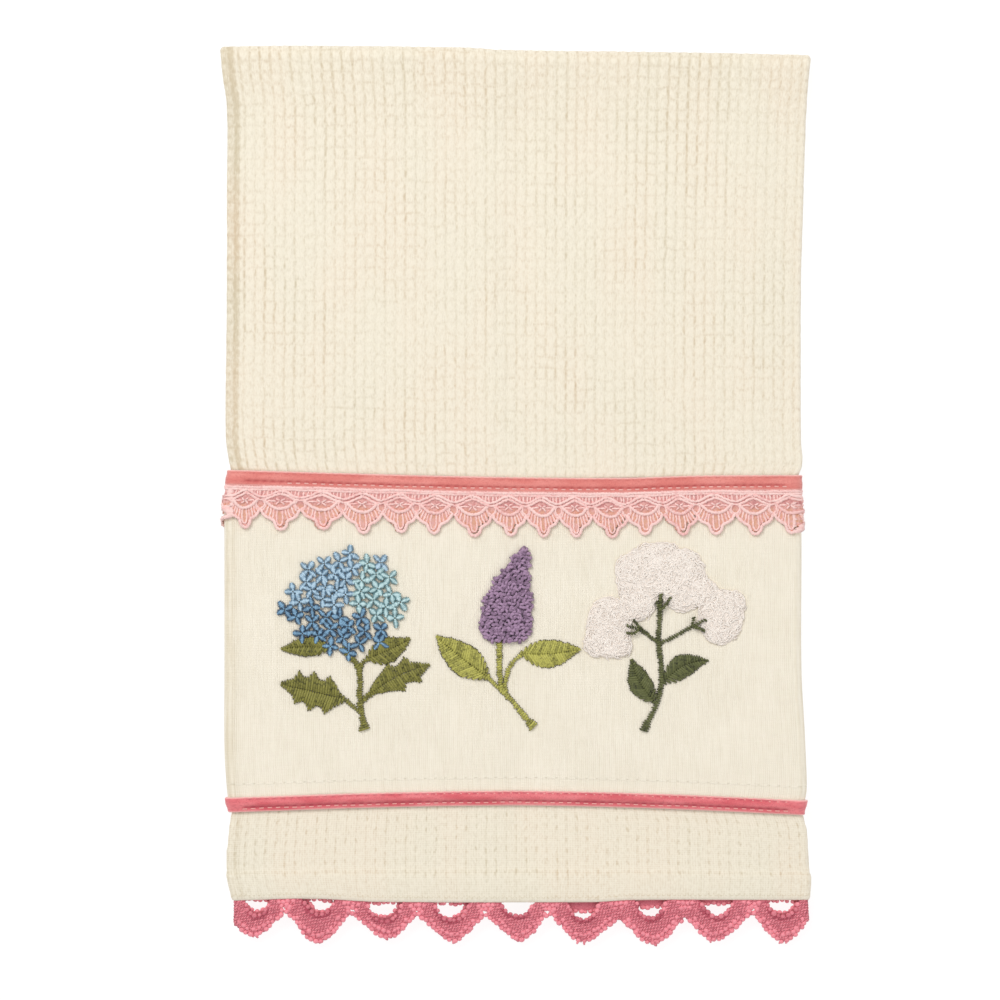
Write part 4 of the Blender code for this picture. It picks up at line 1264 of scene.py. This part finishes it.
LILAC_BLOOM = (
    # along, left, right
    (-54.6, -9.6, 2.4),
    (-51.8, -13.6, 5.4),
    (-46.6, -14.4, 6.4),
    (-38.9, -12.6, 6.7),
    (-33.3, -9.6, 5.9),
    (-27.8, -6.3, 5.6),
    (-24.7, -3.6, 5.7),
    (-21.0, -0.8, 6.0),
    (-18.0, 1.2, 4.9),
)
LILAC_BLADES = (
    ((-10.0, -67.7), (-29.6, -52.1), 11.4, None, 0.4),
    ((1.4, -58.6), (23.9, -56.9), 10.3, None, -0.8),
)
LILAC_STALKS = (
    (((-6.1, -53.6), (-5.6, -70.4), (-4.2, -72.8), (1.1, -79.1), (6.7, -86.1)), 1.9, 2.0),
    (((-4.5, -73.4), (-11.0, -66.9)), 1.6, 0.0),
    (((-4.0, -72.9), (-3.9, -68.5), (-2.2, -63.2), (2.2, -58.4)), 1.5, 0.0),
)
LOOP_PITCH = 1.45
LILAC_HEIGHT = 1.0

SNOWBALL_LOBES = (
    # centre, radii
    ((34.2, -48.6), (8.7, 12.2)),
    ((46.0, -30.5), (9.5, 12.0)),
    ((44.3, -40.5), (7.2, 6.0)),
    ((54.5, -27.4), (9.5, 11.0)),
    ((69.5, -36.5), (6.2, 6.0)),
    ((61.5, -31.5), (9.4, 12.3)),
    ((29.8, -54.6), (5.4, 5.6)),
    ((38.0, -55.4), (5.6, 5.0)),
    ((33.2, -42.6), (4.6, 5.0)),
    ((41.4, -26.2), (5.0, 5.4)),
    ((49.0, -21.6), (5.4, 4.8)),
    ((61.8, -24.6), (5.4, 5.4)),
    ((80.8, -40.0), (4.6, 5.0)),
    ((74.0, -50.6), (5.2, 4.8)),
    ((75.6, -45.0), (8.9, 10.7)),
)
SNOWBALL_BLADES = (
    ((51.6, -76.9), (42.6, -60.5), 8.3, None, 1.5),
    ((54.2, -69.4), (71.2, -61.0), 8.3, None, 2.3),
)
SNOWBALL_STALKS = (
    (((53.3, -36.3), (53.3, -42.7), (52.7, -54.6), (53.5, -60.0), (53.8, -68.9), (52.1, -76.9),
      (47.1, -87.3)), 1.7, 1.4),
    (((52.7, -54.9), (49.5, -52.2), (45.6, -49.4)), 1.2, 0.0),
    (((52.7, -54.9), (58.9, -51.9), (64.9, -48.4)), 1.2, 0.0),
)
SNOWBALL_TWIGS = (
    # short twigs at the end of each branch, over the yarn: points, width, foot
    (((53.3, -42.4), (51.7, -39.2)), 0.9, 0.0),
    (((53.3, -42.4), (53.3, -36.2)), 1.3, 0.0),
    (((53.3, -42.4), (56.1, -39.2)), 0.9, 0.0),
    (((55.6, -39.9), (57.2, -37.4)), 0.8, 0.0),
    (((46.4, -49.8), (43.3, -45.8)), 0.9, 0.0),
    (((45.6, -49.4), (40.8, -48.1)), 0.9, 0.0),
    (((45.4, -49.6), (43.4, -50.9), (40.7, -50.7)), 0.9, 0.0),
    (((65.0, -48.5), (65.6, -44.9)), 0.9, 0.0),
    (((64.9, -48.5), (70.2, -45.9)), 0.9, 0.0),
    (((65.0, -48.4), (67.4, -49.0), (69.8, -50.2)), 0.9, 0.0),
)
TWIG_BASE = 1.1                  # lift of the twigs above the panel
SNOWBALL_ARCS = 2600
SNOWBALL_HEIGHT = 1.6


def on_page(points, lift):
    """Flat places of points given on the page, at a lift above the cloth's middle."""
    points = np.asarray(points, float)
    across = cloth_across(points[..., 0], points[..., 1])
    return np.stack([across, points[..., 1], np.broadcast_to(lift, across.shape)], axis=-1)


def satin(starts, ends, crown, random, half=SATIN_HALF, ragged=0.6, base=0.0, flatness=0.8, tip=0.32):
    """Satin stitches from each start to its end, that dive at both ends.

    crown is how high they rise and base the lift of what they lie on. half is their half width and
    flatness their height as a share of it, ragged how unevenly they end and tip how thin they end.
    """
    starts, ends = np.asarray(starts, float), np.asarray(ends, float)
    span = ends - starts
    unit = span / (np.linalg.norm(span, axis=-1, keepdims=True) + 1e-6)
    starts = starts - unit * random.uniform(0, ragged / 2, (len(starts), 1))
    ends = ends + unit * random.uniform(0, ragged, (len(starts), 1))
    span = ends - starts
    crown = np.reshape(crown, -1) * random.uniform(0.85, 1.1, len(starts))
    dive = np.clip(0.7 / np.linalg.norm(span, axis=-1, keepdims=True), 0.12, 0.36)
    t = np.hstack([0 * dive, dive, 0 * dive + 0.5, 1 - dive, 0 * dive + 1])
    path = starts[:, None] + span[:, None] * t[..., None]
    rise = np.array([0.0, 0.72, 1.0, 0.72, 0.0])
    height = PANEL_FACE + base + half * 0.5 + np.reshape(crown, (-1, 1)) * rise
    tints = random.uniform(0.35, 1.05, len(starts))
    return strands("satin", on_page(path, height), half, half * flatness, tints=tints, tip=tip)


def stem_stitches(points, width, foot, random, base=0.0):
    """Narrow satin column along a few points, widened at its last end by a foot."""
    places, turns = spaced(through(points, 80), SATIN_PITCH)
    forward = np.stack([np.cos(turns), np.sin(turns)], -1)
    sideways = np.stack([-forward[:, 1], forward[:, 0]], -1)
    t = np.linspace(0, 1, len(places))[:, None]
    half = width / 2 + foot / 2 * step(0.9, 1.0, t)
    starts = places + sideways * half - forward * 0.25
    ends = places - sideways * half + forward * 0.25
    return satin(starts, ends, 0.75, random, half=0.46, ragged=0.7, base=base, tip=0.18)


def leaf_stitches(base, tip, width, teeth, bow, random):
    """Leaf of two satin halves that meet at its midrib, with a toothed edge if its table is given."""
    base, tip = np.array(base), np.array(tip)
    length = np.linalg.norm(tip - base)
    forward = (tip - base) / length
    sideways = np.array([-forward[1], forward[0]])
    count = round(length / SATIN_PITCH)
    t = (np.arange(count) + 0.4)[:, None] / count
    rib = base + forward * length * t + sideways * bow * np.sin(math.pi * t)
    rows = []
    for side in (1, -1):
        reach = t + (0.05 if teeth else 0.2) * (1 - t) * np.minimum(t * 6, 1)
        half = width / 2 * np.sin(math.pi * reach ** 0.85) ** 0.9
        if teeth:
            half = width / 2 * np.interp(reach + 0.02 * side, *zip(*teeth))
        ends = base + forward * length * reach + sideways * (bow * np.sin(math.pi * reach) + side * half)
        rows.append(satin(rib - sideways * side * 0.2, ends, 0.62, random))
    return rows


def make_foliage(name, node, blades, stalks, finish, random, twigs=()):
    """Leaves and stems of a sprig, with twigs that lie over its bloom."""
    parts = [stem_stitches(*stalk, random) for stalk in stalks]
    parts += [stem_stitches(*twig, random, TWIG_BASE) for twig in twigs]
    for blade in blades:
        parts += leaf_stitches(*blade, random)
    return folded(name, joined(name, parts), finish, node)


def turned_apart(x, y):
    """Turn of each floret that keeps its petals clear of those of the florets before it."""
    turns = np.zeros(len(x))
    tries = np.arange(18) / 18 * math.pi / 2
    reach = 0.62 * PETAL_LENGTH
    for k in range(1, len(x)):
        near = np.hypot(x[:k] - x[k], y[:k] - y[k]) < 2.6 * PETAL_LENGTH
        others = turns[:k][near][:, None] + np.arange(4) * math.pi / 2
        other_x = (x[:k][near][:, None] + reach * np.cos(others)).ravel()
        other_y = (y[:k][near][:, None] + reach * np.sin(others)).ravel()
        own = tries[:, None] + np.arange(4) * math.pi / 2
        own_x, own_y = x[k] + reach * np.cos(own), y[k] + reach * np.sin(own)
        apart = np.hypot(own_x[..., None] - other_x, own_y[..., None] - other_y)
        turns[k] = tries[np.argmin(np.exp(-(apart / 1.3) ** 2).sum(axis=(1, 2)))]
    return turns


def make_florets(random):
    """Round head of four-petalled florets: mid blue, pale on the right and deep below."""
    order = np.arange(FLORETS) + 0.5
    radius, turn = np.sqrt(order / FLORETS), order * GOLDEN_TURN
    (centre_x, centre_y), (radius_x, radius_y) = HYDRANGEA["centre"], HYDRANGEA["radii"]
    corner = np.where(np.sin(turn) < 0, np.where(np.cos(turn) < 0, 0.0, 0.07),
                      np.where(np.cos(turn) < 0, -0.14, -0.03))
    radius = radius * (1 + corner * np.sin(2 * turn) ** 2)
    x = centre_x + (radius_x - FLORET_INSET) * radius * np.cos(turn)
    y = centre_y + (radius_y - FLORET_INSET) * radius * np.sin(turn)
    x = x + random.normal(0, FLORET_DRIFT, FLORETS)
    y = y + random.normal(0, FLORET_DRIFT, FLORETS)
    deep = y < np.where(x < -54, -41.5, -46.5)
    pale = (x > -60.5) & (y < -25.5) & ~deep
    spin = turned_apart(x, y)[:, None] + np.arange(4) * math.pi / 2
    spin = spin + random.normal(0, 0.14, spin.shape)
    length = PETAL_LENGTH * random.uniform(0.8, 1.12, spin.shape)
    width = PETAL_WIDTH * random.uniform(0.85, 1.12, spin.shape)
    layer = np.broadcast_to(random.uniform(0.0, 0.4, (FLORETS, 1)), spin.shape)
    place = (np.arange(PETAL_STITCHES) + 0.5) / PETAL_STITCHES
    half = width[..., None] / 2 * np.sin(math.pi * (0.06 + 0.84 * place)) ** 0.85
    out = 0.3 + length[..., None] * place
    forward = np.stack([np.cos(spin), np.sin(spin)], -1)[:, :, None]
    sideways = np.stack([-np.sin(spin), np.cos(spin)], -1)[:, :, None]
    middle = np.stack([x, y], -1)[:, None, None] + forward * out[..., None]
    starts, ends = middle + sideways * half[..., None], middle - sideways * half[..., None]
    crown = (0.5 + layer)[..., None] + 0 * half
    parts = []
    for chosen, name, dark, light in (
            (~deep & ~pale, "mid_blue_satin", screen(110, 142, 166), screen(194, 222, 240)),
            (pale, "pale_aqua_satin", screen(118, 156, 162), screen(208, 236, 238)),
            (deep, "deep_blue_satin", screen(60, 86, 112), screen(138, 181, 212))):
        stitches = satin(starts[chosen].reshape(-1, 2), ends[chosen].reshape(-1, 2),
                         crown[chosen].ravel(), random, half=0.34, ragged=0.25, base=FLORET_BASE,
                         flatness=0.6, tip=0.5)
        # ends and dive_from paint wide shade toward each petal's edges, where its stitches dive
        stitches.materials.append(thread_finish(name, dark, light, 0.5, ends=1.1, specular=0.4,
                                                dive_from=0.12, fluff=0.7))
        parts.append(stitches)
    return folded("hydrangea_florets", joined("florets", parts), None, "hydrangea_bloom")


def cushion(places, height, name):
    """Low rounded mound of this height from a sphere, whose points are moved to these places."""
    bm = bmesh.new()
    bmesh.ops.create_uvsphere(bm, u_segments=40, v_segments=20, radius=1.0)
    mesh = to_mesh(bm, name)
    ball = coordinates(mesh)
    x, y = places(ball)
    lift = PANEL_FACE + height * np.maximum(ball[:, 2], -0.02)
    place_vertices(mesh, on_page(np.stack([x, y], -1), lift))
    mark_still(mesh, np.full(len(ball), 0.4))
    return mesh


def lilac_span(along):
    """Middle and half width of the lilac head at a height on the page."""
    left, right = smooth(LILAC_BLOOM, along, 1), smooth(LILAC_BLOOM, along, 2)
    return (left + right) / 2, (right - left) / 2


def make_lilac_head(random):
    """Drop-shaped head of short yarn loops, each of two twisted strands."""
    foot, top = LILAC_BLOOM[0][0], LILAC_BLOOM[-1][0]

    def head(ball):
        """Places of a sphere's points within the head."""
        y = (foot + top) / 2 + (top - foot) / 2 * ball[:, 1]
        middle, half = lilac_span(y)
        ring = np.sqrt(np.maximum(1 - ball[:, 1] ** 2, 1e-6))
        return middle + (half - 1.1) * np.minimum(ring * 3, 1) * ball[:, 0] / ring, y

    y, x = np.meshgrid(np.arange(foot + 0.8, top - 0.5, LOOP_PITCH * 0.87), np.arange(-16, 9, LOOP_PITCH),
                       indexing="ij")
    x = x + LOOP_PITCH / 2 * (np.arange(len(x)) % 2)[:, None]
    y = y.ravel() + random.normal(0, 0.25, y.size)
    x = x.ravel() + random.normal(0, 0.25, x.size)
    middle, half = lilac_span(y)
    inside = np.abs(x - middle) < half - 0.75
    x, y, middle, half = x[inside], y[inside], middle[inside], half[inside]
    turn = math.radians(30) + random.normal(0, 0.7, len(x))
    reach = random.uniform(0.8, 1.2, len(x))
    t = np.linspace(-1, 1, 8)
    base = PANEL_FACE + 0.15 + LILAC_HEIGHT * np.sqrt(np.clip(1 - ((x - middle) / half) ** 2, 0.05, 1))
    loops = []
    for twist in (0, math.pi):
        phase = twist + t * 3.4 + random.uniform(0, math.tau, (len(x), 1))
        side = 0.27 * np.cos(phase)
        forward_x, forward_y = np.cos(turn)[:, None], np.sin(turn)[:, None]
        path_x = x[:, None] + reach[:, None] * t * forward_x - side * forward_y
        path_y = y[:, None] + reach[:, None] * t * forward_y + side * forward_x
        lift = base[:, None] - 0.3 + 1.15 * (1 - t ** 2) + 0.22 * np.sin(phase)
        tints = random.uniform(0.2, 1.1, len(x))
        paths = on_page(np.stack([path_x, path_y], -1), lift)
        loops.append(strands("loops", paths, width=0.48, height=0.44, tints=tints))
    mesh = joined("lilac_loops", [cushion(head, LILAC_HEIGHT, "head"), *loops])
    finish = thread_finish("purple_yarn", screen(78, 52, 78), screen(178, 146, 176), 0.9,
                           sheen=0.35, ends=0.5)
    return folded("lilac_loops", mesh, finish, "lilac_bloom")


def make_snowball_head(random):
    """Cluster of fuzzy yarn: curling strands over low cushions."""
    lobes = np.array([(*centre, *radii) for centre, radii in SNOWBALL_LOBES])
    cushions = []
    for centre_x, centre_y, radius_x, radius_y in lobes:
        cushions.append(cushion(lambda ball: (centre_x + (radius_x - 0.4) * ball[:, 0],
                                              centre_y + (radius_y - 0.4) * ball[:, 1]),
                                SNOWBALL_HEIGHT, "lobe"))
    area = lobes[:, 2] * lobes[:, 3]
    lobe = random.choice(len(lobes), SNOWBALL_ARCS, p=area / area.sum())
    spread = np.sqrt(random.uniform(0, 1, SNOWBALL_ARCS)) * 0.97
    around = random.uniform(0, math.tau, SNOWBALL_ARCS)
    x = lobes[lobe, 0] + lobes[lobe, 2] * spread * np.cos(around)
    y = lobes[lobe, 1] + lobes[lobe, 3] * spread * np.sin(around)
    t = np.linspace(-1, 1, 8)
    loose = random.uniform(0, math.tau, SNOWBALL_ARCS)
    heading = np.where(spread > 0.75, around + math.pi / 2 + random.normal(0, 0.35, SNOWBALL_ARCS), loose)
    heading = heading[:, None]
    curl = random.uniform(0.5, 1.5, (SNOWBALL_ARCS, 1))
    radius = random.uniform(0.9, 2.0, (SNOWBALL_ARCS, 1))
    path_x = x[:, None] + radius * (np.sin(heading + curl * t) - np.sin(heading))
    path_y = y[:, None] - radius * (np.cos(heading + curl * t) - np.cos(heading))
    height = 0
    for centre_x, centre_y, radius_x, radius_y in lobes:
        far = ((path_x - centre_x) / radius_x) ** 2 + ((path_y - centre_y) / radius_y) ** 2
        height = np.maximum(height, np.sqrt(np.clip(1 - far, 0, 1)))
    bounce = random.uniform(0.0, 0.35, (SNOWBALL_ARCS, 1))
    lift = PANEL_FACE - 0.15 + SNOWBALL_HEIGHT * height + (0.12 + bounce) * (1 - t ** 2)
    tints = random.uniform(0.4, 1.1, SNOWBALL_ARCS)
    paths = on_page(np.stack([path_x, path_y], -1), lift)
    arcs = strands("arcs", paths, width=0.29, height=0.2, sides=4, tints=tints)
    mesh = joined("snowball_pile", [*cushions, arcs])
    finish = thread_finish("white_yarn", screen(233, 219, 207), screen(252, 243, 234), 0.95,
                           sheen=0.3, ends=0.1)
    return folded("snowball_pile", mesh, finish, "snowball_bloom")


# ---------------------------------------------------------------- stage

PICTURE_WIDTH = 0.370
CAMERA_PLACE = (-0.00592, -0.00185)
LENS = 150.0
SENSOR = 36.0
FLOOR_GLOW = 0.86
ROOM_LIGHT = 0.53


def make_camera():
    """Camera straight above the towel, as far away as its long lens needs."""
    data = bpy.data.cameras.new("camera")
    data.sensor_width = SENSOR
    data.lens = LENS
    camera = bpy.data.objects.new("camera", data)
    camera.location = (*CAMERA_PLACE, MIDDLE * 2 * MM + PICTURE_WIDTH * LENS / SENSOR)
    bpy.context.scene.collection.objects.link(camera)
    bpy.context.scene.camera = camera


def make_light(name, place, size, power):
    """Soft square lamp that faces the towel."""
    data = bpy.data.lights.new(name, 'AREA')
    data.size = size
    data.energy = power
    lamp = bpy.data.objects.new(name, data)
    lamp.location = place
    lamp.rotation_euler = (-Vector(place)).to_track_quat('-Z', 'Y').to_euler()
    bpy.context.scene.collection.objects.link(lamp)


def make_stage():
    """Pale floor, even light of a room and two soft lamps."""
    bm = bmesh.new()
    bmesh.ops.create_grid(bm, x_segments=1, y_segments=1, size=4.0)
    floor = bpy.data.objects.new("floor", to_mesh(bm, "floor"))
    finish = Finish("floor", 0.9, 0.0, 0.1)
    finish.colour(screen(125, 125, 125))
    finish.shader.inputs["Emission Color"].default_value = (1, 1, 1, 1)
    finish.shader.inputs["Emission Strength"].default_value = FLOOR_GLOW
    floor.data.materials.append(finish.material)
    bpy.context.scene.collection.objects.link(floor)
    world = bpy.data.worlds.new("room")
    world.use_nodes = True
    sky = world.node_tree.nodes["Background"]
    sky.inputs["Color"].default_value = (1.0, 1.0, 1.0, 1.0)
    sky.inputs["Strength"].default_value = ROOM_LIGHT
    bpy.context.scene.world = world
    make_light("window", (-0.65, 0.95, 1.5), 1.0, 17.5)
    make_light("fill", (1.0, -0.5, 1.6), 1.6, 7.0)
    bpy.context.scene.view_settings.view_transform = 'Standard'


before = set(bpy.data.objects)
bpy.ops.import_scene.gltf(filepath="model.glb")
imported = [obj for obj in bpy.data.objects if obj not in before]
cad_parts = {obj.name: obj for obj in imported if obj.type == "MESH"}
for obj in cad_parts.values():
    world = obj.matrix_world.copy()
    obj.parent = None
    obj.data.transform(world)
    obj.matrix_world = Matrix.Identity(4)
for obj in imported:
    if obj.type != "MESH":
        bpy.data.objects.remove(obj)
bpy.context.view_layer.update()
random = np.random.default_rng(7)

make_camera()
towel = make_towel()
panel = make_panel()
pale_stitch = thread_finish("pale_stitches", screen(226, 148, 142), screen(248, 200, 190))
coral = make_ribbon("coral_ribbon", "upper_ribbon", UPPER_LINE, -1,
                    ribbon_finish("coral_velvet", screen(224, 126, 118), screen(237, 150, 141),
                                  screen(190, 84, 82)),
                    CORAL_STITCHES, pale_stitch, 0.2)
rose = make_ribbon("rose_ribbon", "lower_ribbon", LOWER_LINE, 1,
                   ribbon_finish("rose_velvet", screen(224, 100, 108), screen(244, 138, 142),
                                 screen(178, 60, 76)),
                   ROSE_STITCHES, pale_stitch, 0.6)
trims = [coral, rose, make_pale_lace(random), make_rose_lace(random)]

# the ends and needle arguments paint shade where the stitches dive and at the pricks that split them
olive = thread_finish("olive_satin", screen(46, 46, 15), screen(145, 141, 70), 0.5, ends=1.0, fluff=1.2,
                      grain=1.5, needle_shade=0.35)
lime = thread_finish("lime_satin", screen(54, 50, 14), screen(194, 190, 98), 0.5, ends=1.0, fluff=1.3,
                     grain=1.5, needle_shade=0.18)
dark_green = thread_finish("dark_green_satin", screen(22, 26, 13), screen(106, 110, 66), 0.5, ends=1.0,
                           fluff=1.2, grain=1.5, needle_shade=0.3)
embroidery = [
    make_florets(random),
    make_foliage("hydrangea_foliage", "hydrangea_leaves", HYDRANGEA_BLADES, HYDRANGEA_STALKS, olive,
                 random),
    make_foliage("hydrangea_back_leaf", "hydrangea_side_leaf", (HYDRANGEA_SIDE_BLADE,), (), olive,
                 random),
    make_lilac_head(random),
    make_foliage("lilac_foliage", "lilac_leaves", LILAC_BLADES, LILAC_STALKS, lime, random),
    make_snowball_head(random),
    make_foliage("snowball_foliage", "snowball_leaves", SNOWBALL_BLADES, SNOWBALL_STALKS, dark_green,
                 random, SNOWBALL_TWIGS),
]
declare_cloth()
make_stage()
